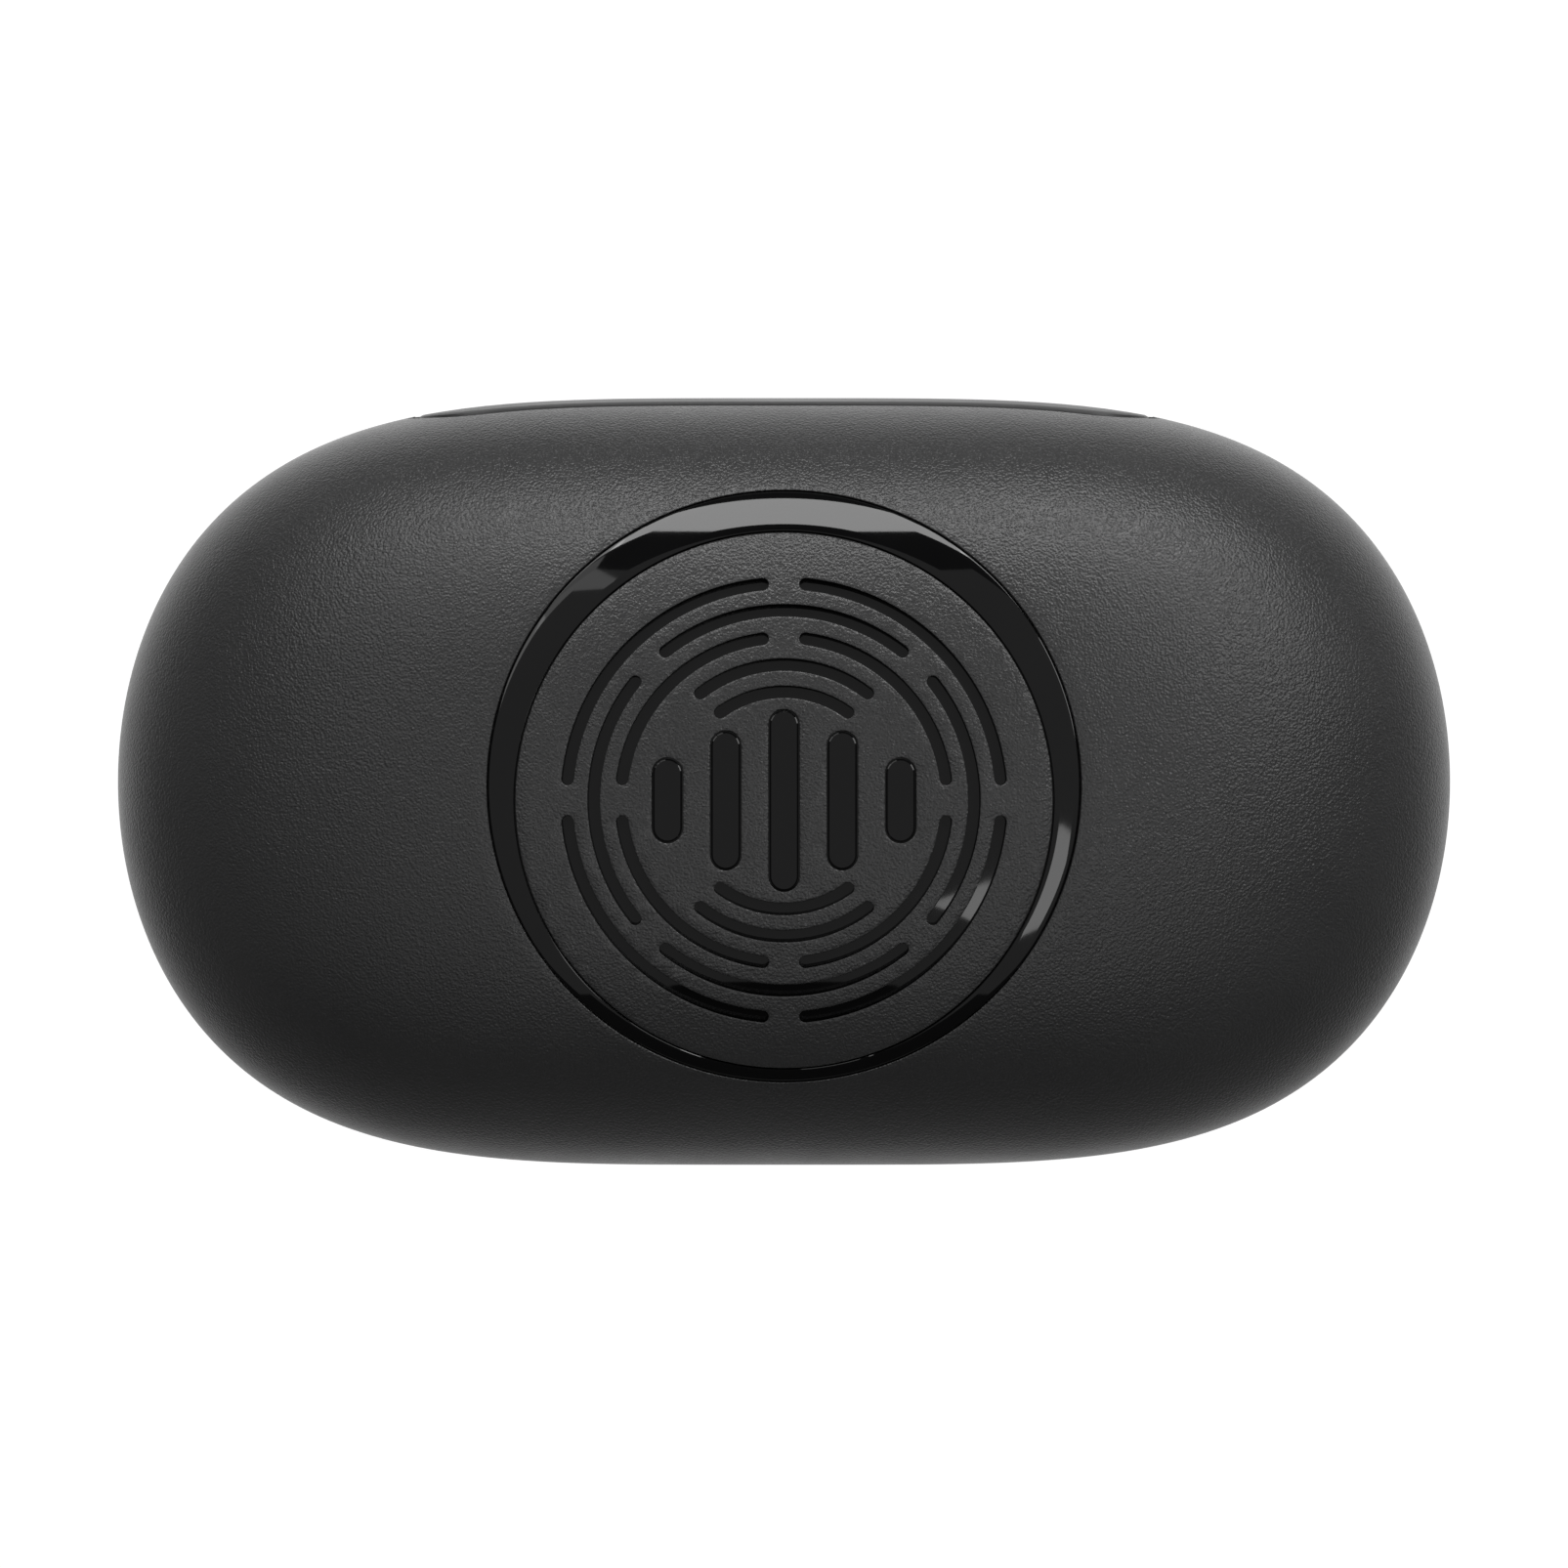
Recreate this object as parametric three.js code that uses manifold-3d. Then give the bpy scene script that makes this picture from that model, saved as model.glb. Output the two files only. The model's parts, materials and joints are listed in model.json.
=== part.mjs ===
// A charging case for a pair of wireless earbuds, as an assembly of separate pieces.
//
// Millimetres, +Z up. The origin is the middle of the flat foot that the case stands on. The case is
// longest along X, its hinge is at the back (+Y), and its thumb notch and status light are in front.

import * as THREE from "three";
import { mergeVertices } from "three/addons/utils/BufferGeometryUtils.js";
import Module from "manifold-3d";

const wasm = await Module();
wasm.setup();

// ------------------------------------------------------------------ driving dimensions

// The outside is a pebble. Every level section is |x / half length|^4 + |y / half depth|^2 = 1,
// drawn in towards the crown and the foot along a superellipse.
const HALF_LENGTH = 35;
const HALF_DEPTH = 20.15;
const HEIGHT = 33;
const BELT_Z = 18.5;
const CROWN_RISE = HEIGHT - BELT_Z;
const BELLY_DROP = 19.5;
const CROWN_POWER = 2.6;
const BELLY_POWER = 2.8;

// Lid and base part at a level joint.
const PART_Z = 20;
const PART_GAP = 0.25;
const LID_Z = PART_Z + PART_GAP;

// Shell walls: thin at the joint, where the trays drop in, and thicker behind a ledge.
const RIM_WALL = 1.5;
const WALL = 2.1;
const FLOOR = 1.8;
const TRAY_FIT = 0.15;

// Trays: the cradle in the base and the liner in the lid.
const TRAY_WALL = 1.2;
const CRADLE_TOP = 19.8;
const CRADLE_BOTTOM = 18.0;
const LINER_BOTTOM = 20.45;
const LINER_TOP = 22.0;

// One earbud well, on the right. The left one is its mirror image.
const BOWL = { x: 20.5, y: 3, rx: 9.5, ry: 10.5 };
const STEM = { fromX: 17, fromY: -2, toX: 12.2, toY: -12.6, radius: 4 };
const CRADLE_BOWL_DEPTH = 9.5;
const CRADLE_STEM_DEPTH = 7.5;
const LINER_BOWL_DEPTH = 7;
const LINER_STEM_DEPTH = 2;
const DONGLE = { halfX: 4.2, halfY: 8.5, depth: 10, corner: 1.6 };

// Hinge: the pin lies just above the joint and close to the back, so the lid's lower edge swings
// clear of the base's rim.
const HINGE_Y = 18.3;
const HINGE_Z = 21.3;
const PIN_RADIUS = 0.5;
const PIN_BORE = 0.58;
const PIN_HALF = 16.4;
const COVER_HALF = 19.2;
const COVER_LOW = 15.4;
const COVER_HIGH = 22.7;
const COVER_CORNER = 3.4;
const COVER_THICK = 1.0;
const LID_NOTCH_HALF = 20.1;
const LID_NOTCH_HIGH = COVER_HIGH + 0.95;
const ARM = { from: 9.6, to: 13.2, radius: 1.05 };
const LEAF = 1.0;

// Emblem on the crown: a round disc inside a wider ring that is set a little further back, so that
// the ring is broad at the back and narrow in front.
const DISC = { y: -0.98, radius: 13.9 };
const RING = { y: -0.25, radius: 15.25 };
const EMBLEM_DEPTH = 1.1;
const INSERT_DEPTH = 1.0;
const INSERT_FLOOR = 0.5;
const DISC_DEPTH = 0.4;
const BAR_SINK = 0.12;
const EMBLEM_FIT = 0.06;
const SLOT_WIDTH = 0.62;
const SLOT_PITCH = 1.4;
const BAR_WIDTH = 1.6;
const BAR_PITCH = 3.0;
const BAR_HALVES = [2.2, 3.6, 4.7, 3.6, 2.2];

// Electronics.
const PCB = { halfX: 27, halfY: 14.4, bottom: 7.5, thick: 0.8 };
const PCB_TOP = PCB.bottom + PCB.thick;
const USB = { width: 8.94, height: 3.26, wall: 0.3, fromY: 11.6, toY: 18.5 };
const USB_Z = PCB_TOP + 0.1 + USB.height / 2;
const BATTERY = { halfX: 16, halfY: 9.5, bottom: 3.2, thick: 3.2 };
const LEAD_RADIUS = 0.45;
const LATCH_MAGNET = { width: 9, depth: 3.4, base: 2.4, lid: 2, y: -14 };
const BUD_MAGNET = { radius: 1.9, thick: 1.1 };
const SCREW = { head: 1.15, shank: 0.5, length: 3.2 };
const LIGHT = { half: 3, radius: 0.7, z: 13 };
const SCOOP = { radius: 14, depth: 0.9, squash: 0.5, z: PART_Z + 0.6 };
const BOARD_SCREWS = [
  [9, 12.4],
  [-9, 12.4],
  [22, -9.2],
  [-22, -9.2],
];

// Charging contacts, two in each stem channel's floor.
const STEM_FLOOR = CRADLE_TOP - CRADLE_STEM_DEPTH;
const CONTACT_SPACING = 3.6;
const CONTACT = { x: 14.15, y: -8.25, barrel: 0.85, bore: 0.55, pin: 0.48 };
const CONTACT_BOTTOM = PCB_TOP + 0.2;

// Facets: round the outside, round the inside, round the emblem's dome and round an earbud well.
const SIDES = 48;
const INNER_SIDES = 32;
const DOME_SIDES = 20;
const WELL_SIDES = 20;
const RINGS = 8;
const FAR = 60;

// ------------------------------------------------------------------ solids

/** A closed geometry as a solid that can be joined and cut. */
function solidOf(geometry) {
  const flat = geometry.index ? geometry.toNonIndexed() : geometry;
  const bare = new THREE.BufferGeometry();
  bare.setAttribute("position", flat.getAttribute("position"));
  const merged = mergeVertices(bare, 1e-4);
  const index = merged.index.array;
  const kept = [];
  for (let i = 0; i < index.length; i += 3) {
    const [a, b, c] = index.slice(i, i + 3);
    if (a !== b && b !== c && c !== a) kept.push(a, b, c);
  }
  const mesh = new wasm.Mesh({
    numProp: 3,
    vertProperties: merged.getAttribute("position").array,
    triVerts: new Uint32Array(kept),
  });
  return new wasm.Manifold(mesh);
}

/** The geometry of a solid. */
function geometryOf(solid) {
  const mesh = solid.getMesh();
  const geometry = new THREE.BufferGeometry();
  geometry.setAttribute("position", new THREE.BufferAttribute(mesh.vertProperties, 3));
  geometry.setIndex(new THREE.BufferAttribute(mesh.triVerts, 1));
  return geometry;
}

function join(...solids) {
  return solids.reduce((sum, next) => sum.add(next));
}

/** A box given by its lowest and highest corners. */
function box(x0, x1, y0, y1, z0, z1) {
  const geometry = new THREE.BoxGeometry(x1 - x0, y1 - y0, z1 - z0);
  geometry.translate((x0 + x1) / 2, (y0 + y1) / 2, (z0 + z1) / 2);
  return solidOf(geometry);
}

/** A turned solid about Z from [radius, z] pairs, which start and end on the axis or close up. */
function turned(profile, sides) {
  const points = profile.map(([r, z]) => new THREE.Vector2(r, z));
  return solidOf(new THREE.LatheGeometry(points, sides).rotateX(Math.PI / 2));
}

/** A round bar along Z, from z0 to z1. */
function rod(radius, z0, z1, sides) {
  return turned([[0, z0], [radius, z0], [radius, z1], [0, z1]], sides);
}

/** A round bar along X at the hinge's height and depth. */
function hingeRod(radius, x0, x1, sides) {
  const along = new THREE.CylinderGeometry(radius, radius, x1 - x0, sides).rotateZ(Math.PI / 2);
  return solidOf(along.translate((x0 + x1) / 2, HINGE_Y, HINGE_Z));
}

/** A flat outline in X and Y, standing from z0 to z1. */
function slab(shape, z0, z1, segments = 4) {
  const options = { depth: z1 - z0, bevelEnabled: false, curveSegments: segments };
  return solidOf(new THREE.ExtrudeGeometry(shape, options).translate(0, 0, z0));
}

/** A flat outline in X and Z, standing from y0 to y1. */
function wallSlab(shape, y0, y1, segments = 4) {
  const options = { depth: y1 - y0, bevelEnabled: false, curveSegments: segments };
  const geometry = new THREE.ExtrudeGeometry(shape, options).rotateX(Math.PI / 2);
  return solidOf(geometry.translate(0, y1, 0));
}

/** A rectangle with round corners, as an outline centred on (x, y). */
function roundedRect(x, y, halfX, halfY, corner) {
  const shape = new THREE.Shape();
  const quarter = Math.PI / 2;
  shape.absarc(x + halfX - corner, y - halfY + corner, corner, -quarter, 0);
  shape.absarc(x + halfX - corner, y + halfY - corner, corner, 0, quarter);
  shape.absarc(x - halfX + corner, y + halfY - corner, corner, quarter, 2 * quarter);
  shape.absarc(x - halfX + corner, y - halfY + corner, corner, 2 * quarter, 3 * quarter);
  return shape;
}

/** Both a solid on the right and its mirror image on the left. */
function both(solid) {
  return solid.add(solid.mirror([1, 0, 0]));
}

// ------------------------------------------------------------------ the pebble

/** How much of the widest section is left at height z, on the pebble drawn in by inset. */
function girth(z, inset) {
  const crown = z > BELT_Z;
  const reach = (crown ? CROWN_RISE : BELLY_DROP) - inset;
  const power = crown ? CROWN_POWER : BELLY_POWER;
  const share = Math.min(1, Math.abs(z - BELT_Z) / reach);
  return (1 - share ** power) ** (1 / power);
}

/** The slice of the pebble, drawn in by inset, that lies between two heights. */
function pebble(inset, zLow, zHigh, sides = INNER_SIDES) {
  const top = Math.min(zHigh, HEIGHT - inset);
  const heights = [];
  for (let i = RINGS - 1; i > 0; i--) {
    const swing = Math.sin((i / RINGS) * (Math.PI / 2));
    heights.push(BELT_Z - (BELLY_DROP - inset) * swing ** (2 / BELLY_POWER));
  }
  heights.push(BELT_Z);
  for (let i = 1; i < RINGS; i++) {
    const swing = Math.sin((i / RINGS) * (Math.PI / 2));
    heights.push(BELT_Z + (CROWN_RISE - inset) * swing ** (2 / CROWN_POWER));
  }
  const clear = 0.3;
  const inside = heights.filter((z) => z > zLow + clear && z < top - clear);
  const rings = [zLow, ...inside, top].map((z) => [girth(z, inset), z]);
  const closed = rings.at(-1)[0] < 1e-6 ? rings : [...rings, [0, top]];
  const points = [[0, zLow], ...closed].map(([r, z]) => new THREE.Vector2(r, z));
  const geometry = new THREE.LatheGeometry(points, sides).rotateX(Math.PI / 2);
  const place = geometry.getAttribute("position");
  for (let i = 0; i < place.count; i++) {
    const [x, y] = outlinePoint(place.getX(i), place.getY(i), inset);
    place.setXY(i, x, y);
  }
  return solidOf(geometry);
}

/** Carries a point of the unit circle's plane to the pebble's outline, drawn in by inset. */
function outlinePoint(u, v, inset) {
  const radius = Math.hypot(u, v);
  if (radius < 1e-9) return [0, 0];
  const cos2 = (u / radius) ** 2;
  const sin2 = (v / radius) ** 2;
  const scale = Math.sqrt(2 / (sin2 + Math.sqrt(sin2 * sin2 + 4 * cos2 * cos2)));
  return [u * scale * (HALF_LENGTH - inset), v * scale * (HALF_DEPTH - inset)];
}

/** The layer of the pebble between two depths below its surface. */
function layer(outer, inner, zLow, zHigh, sides) {
  return pebble(outer, zLow, zHigh, sides).subtract(pebble(inner, zLow - 1, zHigh + 1, sides));
}

// ------------------------------------------------------------------ wells

/** A bowl's half, a superellipsoid hanging from z by depth. A negative depth rises instead. */
function bowl(z, depth, grow) {
  const power = 2.5;
  const steps = 5;
  const profile = [[0, z + Math.sign(depth) * 0.5], [1, z + Math.sign(depth) * 0.5]];
  for (let i = 0; i < steps; i++) {
    const angle = (i / steps) * (Math.PI / 2);
    const down = Math.sin(angle) ** (2 / power) * (Math.abs(depth) + grow) * Math.sign(depth);
    profile.push([Math.cos(angle) ** (2 / power), z - down]);
  }
  profile.push([0, z - depth - grow * Math.sign(depth)]);
  if (depth > 0) profile.reverse();
  const points = profile.map(([r, h]) => new THREE.Vector2(r, h));
  const geometry = new THREE.LatheGeometry(points, WELL_SIDES).rotateX(Math.PI / 2);
  geometry.scale(BOWL.rx + grow, BOWL.ry + grow, 1).translate(BOWL.x, BOWL.y, 0);
  return solidOf(geometry);
}

/** A stem channel: a slot with round ends, hanging from z by depth. */
function stemChannel(z, depth, grow) {
  const radius = STEM.radius + grow;
  const heading = Math.atan2(STEM.toY - STEM.fromY, STEM.toX - STEM.fromX);
  const shape = new THREE.Shape();
  shape.absarc(STEM.toX, STEM.toY, radius, heading - Math.PI / 2, heading + Math.PI / 2);
  shape.absarc(STEM.fromX, STEM.fromY, radius, heading + Math.PI / 2, heading + 1.5 * Math.PI);
  const far = z - depth - grow * Math.sign(depth);
  const near = z + Math.sign(depth) * 0.5;
  return slab(shape, Math.min(far, near), Math.max(far, near));
}

/** Both earbud wells, as the space they take (grow 0) or the cups round them (grow the wall). */
function wells(z, bowlDepth, stemDepth, grow) {
  return both(bowl(z, bowlDepth, grow).add(stemChannel(z, stemDepth, grow)));
}

// ------------------------------------------------------------------ materials

const shell = { color: 0x1b1b1c, roughness: 0.55, metalness: 0 };
const LOOKS = {
  grained_shell: shell,
  gloss_black: { color: 0x0b0b0c, roughness: 0.08, metalness: 0 },
  satin_black: { color: 0x141415, roughness: 0.38, metalness: 0 },
  steel: { color: 0x9a9b9e, roughness: 0.3, metalness: 1 },
  black_steel: { color: 0x222224, roughness: 0.45, metalness: 1 },
  nickel: { color: 0xb9b8b2, roughness: 0.22, metalness: 1 },
  gold: { color: 0xd9ad4f, roughness: 0.22, metalness: 1 },
  board_green: { color: 0x123a26, roughness: 0.45, metalness: 0 },
  chip_black: { color: 0x18181a, roughness: 0.5, metalness: 0 },
  cell_foil: { color: 0xa8abb0, roughness: 0.35, metalness: 1 },
  foam_black: { color: 0x202022, roughness: 0.95, metalness: 0 },
  light_pipe: { color: 0xe8e8e4, roughness: 0.25, metalness: 0 },
  wire_red: { color: 0xa01414, roughness: 0.5, metalness: 0 },
  wire_black: { color: 0x121212, roughness: 0.5, metalness: 0 },
  connector_white: { color: 0xdcd9cf, roughness: 0.5, metalness: 0 },
};
const materials = Object.fromEntries(
  Object.entries(LOOKS).map(([name, look]) => [
    name,
    new THREE.MeshStandardMaterial({ name, ...look }),
  ]),
);

function piece(name, solid, look) {
  const mesh = new THREE.Mesh(geometryOf(solid), materials[look]);
  mesh.name = name;
  return mesh;
}

function placed(mesh, x, y, z) {
  mesh.position.set(x, y, z);
  return mesh;
}

// ------------------------------------------------------------------ base shell and its trims

/** The prism that the hinge cover fills, grown by a fit all round. */
function coverPrism(grow, y0, y1) {
  const middle = (COVER_LOW + COVER_HIGH) / 2;
  const halfZ = (COVER_HIGH - COVER_LOW) / 2 + grow;
  const shape = roundedRect(0, middle, COVER_HALF + grow, halfZ, COVER_CORNER + grow);
  return wallSlab(shape, y0, y1, 3);
}

/** The outline of the USB-C port, as a slot with round ends. */
function portPrism(grow, y0, y1) {
  const halfX = USB.width / 2 + grow;
  const halfZ = USB.height / 2 + grow;
  return wallSlab(roundedRect(0, USB_Z, halfX, halfZ, halfZ - 0.05), y0, y1, 3);
}

function lightPrism(grow, y0, y1) {
  const radius = LIGHT.radius + grow;
  return wallSlab(roundedRect(0, LIGHT.z, LIGHT.half + grow, radius, radius - 0.02), y0, y1, 3);
}

/** A shallow scoop under the joint at the front, for a thumb. */
function thumbScoop() {
  const { radius, depth, squash, z } = SCOOP;
  const ball = new THREE.SphereGeometry(radius, 32, 24).scale(1.1, 1, squash);
  return solidOf(ball.translate(0, depth - HALF_DEPTH - radius, z));
}

const PORT_SEAT = 0.9;

function makeBaseShell() {
  const cavity = join(
    pebble(WALL, FLOOR, CRADLE_BOTTOM - 0.1),
    pebble(RIM_WALL, CRADLE_BOTTOM - 0.1, PART_Z + 1),
  );
  const made = pebble(0, 0, PART_Z, SIDES)
    .subtract(cavity)
    .subtract(coverPrism(0.2, 15, FAR))
    .subtract(portPrism(PORT_SEAT, 15, FAR))
    .subtract(lightPrism(0.08, -FAR, -12))
    .subtract(thumbScoop());
  return piece("base_shell", made, "grained_shell");
}

function makePortSurround() {
  const blank = portPrism(PORT_SEAT - 0.06, 15, FAR).intersect(pebble(0.35, 1, PART_Z));
  const made = blank.subtract(portPrism(0.12, 0, FAR)).subtract(box(-9, 9, 0, 16.6, 0, PART_Z));
  return piece("usb_port_surround", made, "gloss_black");
}

function makeLightPipe() {
  const window = lightPrism(0, -FAR, -15.4).intersect(pebble(0.05, 1, PART_Z));
  const leg = box(-1.2, 1.2, -15.6, -14, PCB_TOP + 1.1, LIGHT.z + LIGHT.radius * 0.6);
  const bridge = box(-LIGHT.half * 0.7, LIGHT.half * 0.7, -15.6, -14, LIGHT.z - 0.5, LIGHT.z + 0.5);
  return piece("light_pipe", join(window, leg, bridge), "light_pipe");
}

// ------------------------------------------------------------------ cradle

function makeCradle() {
  const plate = pebble(RIM_WALL + TRAY_FIT, CRADLE_BOTTOM, CRADLE_TOP);
  const thick = CRADLE_TOP - CRADLE_BOTTOM;
  const cups = wells(CRADLE_BOTTOM, CRADLE_BOWL_DEPTH - thick, CRADLE_STEM_DEPTH - thick, TRAY_WALL);
  const pocket = (grow, z0, z1) =>
    slab(
      roundedRect(0, 0, DONGLE.halfX + grow, DONGLE.halfY + grow, DONGLE.corner + grow),
      z0,
      z1,
      2,
    );
  const dongleFloor = CRADLE_TOP - DONGLE.depth;
  const bosses = BOARD_SCREWS.map(([x, y]) =>
    rod(1.3, PCB_TOP + 0.05, CRADLE_BOTTOM + 0.2, 12).translate([x, y, 0]),
  );
  const screwHoles = BOARD_SCREWS.map(([x, y]) => rod(0.62, 0, PCB_TOP + 4, 10).translate([x, y, 0]));
  const contactHoles = CONTACT_PLACES.map(([x, y]) => rod(1.0, 5, CRADLE_TOP, 12).translate([x, y, 0]));
  const limit = pebble(WALL + 0.2, FLOOR, PART_Z).add(pebble(RIM_WALL + TRAY_FIT, CRADLE_BOTTOM, 30));
  const body = join(plate, cups, pocket(TRAY_WALL, dongleFloor - TRAY_WALL, CRADLE_BOTTOM + 0.5), ...bosses);
  const made = body
    .intersect(limit)
    .subtract(wells(CRADLE_TOP, CRADLE_BOWL_DEPTH, CRADLE_STEM_DEPTH, 0))
    .subtract(pocket(0, dongleFloor, FAR))
    .subtract(box(-COVER_HALF - 0.4, COVER_HALF + 0.4, 16.7, FAR, 0, FAR))
    .subtract(join(...screwHoles, ...contactHoles));
  return piece("cradle", made, "satin_black");
}

// ------------------------------------------------------------------ charging contacts

const stemHeading = Math.atan2(STEM.toY - STEM.fromY, STEM.toX - STEM.fromX);
const CONTACT_NAMES = ["right_rear", "right_front", "left_rear", "left_front"];
const CONTACT_PLACES = [1, -1].flatMap((side) =>
  [-0.5, 0.5].map((step) => [
    side * (CONTACT.x + Math.cos(stemHeading) * CONTACT_SPACING * step),
    CONTACT.y + Math.sin(stemHeading) * CONTACT_SPACING * step,
  ]),
);
const BARREL_FLOOR = 0.3;
const SPRING_LENGTH = 1.65;
const PIN_FOOT = CONTACT_BOTTOM + BARREL_FLOOR + SPRING_LENGTH + 0.05;
const PIN_TIP = STEM_FLOOR + 1.0;

/** A spring as a square-section wire on a helix about Z, standing on z 0. */
function coilSpring(meanRadius, wire, length, turns, stepsPerTurn) {
  const points = [];
  const steps = turns * stepsPerTurn;
  for (let i = 0; i <= steps; i++) {
    const angle = (i / stepsPerTurn) * 2 * Math.PI;
    const z = wire / 2 + (length - wire) * (i / steps);
    points.push(new THREE.Vector3(meanRadius * Math.cos(angle), meanRadius * Math.sin(angle), z));
  }
  const half = wire / 2;
  const section = new THREE.Shape([
    new THREE.Vector2(-half, -half),
    new THREE.Vector2(half, -half),
    new THREE.Vector2(half, half),
    new THREE.Vector2(-half, half),
  ]);
  const path = new THREE.CatmullRomCurve3(points);
  return solidOf(new THREE.ExtrudeGeometry(section, { steps, bevelEnabled: false, extrudePath: path }));
}

function makeContacts() {
  const group = new THREE.Group();
  CONTACT_PLACES.forEach(([x, y], i) => {
    const height = STEM_FLOOR - 0.1 - CONTACT_BOTTOM;
    const barrel = rod(CONTACT.barrel, 0, height, 12).subtract(rod(CONTACT.bore, BARREL_FLOOR, FAR, 12));
    const spring = coilSpring(0.34, 0.14, SPRING_LENGTH, 3.5, 6);
    const stub = PIN_TIP - PIN_FOOT;
    const pin = turned([[0, 0], [CONTACT.pin, 0], [CONTACT.pin, stub - 0.2], [0.25, stub], [0, stub]], 12);
    group.add(
      placed(piece(`contact_barrel_${CONTACT_NAMES[i]}`, barrel, "gold"), x, y, CONTACT_BOTTOM),
      placed(
        piece(`contact_spring_${CONTACT_NAMES[i]}`, spring, "steel"),
        x,
        y,
        CONTACT_BOTTOM + BARREL_FLOOR + 0.02,
      ),
      placed(piece(`contact_pin_${CONTACT_NAMES[i]}`, pin, "gold"), x, y, PIN_FOOT),
    );
  });
  return group;
}

/** The insulator that holds one stem's two barrels, standing on the board. */
function makeContactBlock(side) {
  const width = 3;
  const height = 2.3;
  const block = solidOf(new THREE.BoxGeometry(CONTACT_SPACING + width, width, height))
    .rotate([0, 0, (stemHeading * 180) / Math.PI])
    .translate([CONTACT.x, CONTACT.y, PCB_TOP + 0.1 + height / 2]);
  const holes = CONTACT_PLACES.slice(0, 2).map(([x, y]) => rod(0.95, 0, FAR, 12).translate([x, y, 0]));
  const right = block.subtract(join(...holes));
  return side > 0
    ? piece("contact_block_right", right, "chip_black")
    : piece("contact_block_left", right.mirror([1, 0, 0]), "chip_black");
}

// ------------------------------------------------------------------ hinge

const armZone = [ARM.from - 0.2, ARM.to + 0.2];
const KNUCKLES = [
  [6.2, 9.2],
  [13.6, 17.2],
];
const KNUCKLE_RADIUS = 1.3;

/** The strip at the back that fills the notch in the lid and carries the pin in its knuckles. */
function makeHingeCover() {
  const plate = coverPrism(0, 12, FAR).intersect(layer(0, COVER_THICK, 12, 28));
  const knuckles = KNUCKLES.map(([from, to]) =>
    both(
      box(from, to, 17, 19.7, COVER_LOW + 0.6, HINGE_Z).add(hingeRod(KNUCKLE_RADIUS, from, to, 16)),
    ),
  );
  const swing = both(
    box(...armZone, 10, 18.75, HINGE_Z, FAR).add(hingeRod(1.2, ...armZone, 16)),
  );
  const made = join(plate, join(...knuckles).intersect(pebble(0.3, 12, 28)))
    .subtract(swing)
    .subtract(hingeRod(1.2, -6.0, 6.0, 16))
    .subtract(hingeRod(PIN_BORE, -PIN_HALF - 0.1, PIN_HALF + 0.1, 12));
  return piece("hinge_cover", made, "satin_black");
}

function makeHingePin() {
  const pin = new THREE.CylinderGeometry(PIN_RADIUS, PIN_RADIUS, 2 * PIN_HALF, 12).rotateZ(Math.PI / 2);
  return placed(piece("hinge_pin", solidOf(pin), "steel"), 0, HINGE_Y, HINGE_Z);
}

/** The torsion spring: a close coil on the pin, one leg down in the base and one leg into the lid. */
function makeHingeSpring() {
  const radius = 0.82;
  const wire = 0.3;
  const turns = 7;
  const stepsPerTurn = 6;
  const pitch = 0.36;
  const points = [new THREE.Vector3((-turns * pitch) / 2, -radius, -3.6)];
  for (let i = 0; i <= turns * stepsPerTurn; i++) {
    const angle = Math.PI + (i / stepsPerTurn) * 2 * Math.PI;
    const x = pitch * (i / stepsPerTurn - turns / 2);
    points.push(new THREE.Vector3(x, radius * Math.cos(angle), radius * Math.sin(angle)));
  }
  points.push(new THREE.Vector3((turns * pitch) / 2, -radius - 0.1, 1.0));
  points.push(new THREE.Vector3((turns * pitch) / 2, -radius - 2.2, 2.6));
  const section = new THREE.Shape().absarc(0, 0, wire / 2, 0, 2 * Math.PI);
  const geometry = new THREE.ExtrudeGeometry(section, {
    steps: turns * stepsPerTurn + 6,
    curveSegments: 2,
    bevelEnabled: false,
    extrudePath: new THREE.CatmullRomCurve3(points),
  });
  return placed(piece("hinge_spring", solidOf(geometry), "steel"), 0, HINGE_Y, HINGE_Z);
}

/** The bracket in the lid: a flange screwed to the crown, a drop, and two arms to the pin. */
const BRACKET = { frontY: 13.8, flangeY: 8.6, flangeZ: 24.5, flangeHalf: 11.5, screwX: 8, screwY: 10.6 };

function makeHingeBracket() {
  const low = HINGE_Z - ARM.radius;
  const { frontY, flangeY, flangeZ, flangeHalf, screwX, screwY } = BRACKET;
  const arm = join(
    hingeRod(ARM.radius, ARM.from, ARM.to, 16),
    box(ARM.from, ARM.to, frontY, HINGE_Y, low, HINGE_Z + 0.1),
    box(ARM.from, ARM.to, frontY, frontY + LEAF, low, flangeZ + LEAF),
  );
  const cross = box(-ARM.to, ARM.to, frontY, frontY + LEAF, flangeZ - 1.9, flangeZ + LEAF);
  const flange = box(-flangeHalf, flangeHalf, flangeY, frontY + LEAF, flangeZ, flangeZ + LEAF);
  const made = join(both(arm), cross, flange)
    .subtract(hingeRod(PIN_BORE, -PIN_HALF, PIN_HALF, 12))
    .subtract(both(rod(0.8, 0, FAR, 12).translate([screwX, screwY, 0])));
  return piece("lid_hinge_bracket", made, "black_steel");
}

// ------------------------------------------------------------------ lid

const BOSS_FOOT = BRACKET.flangeZ + LEAF + 0.05;

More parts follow.
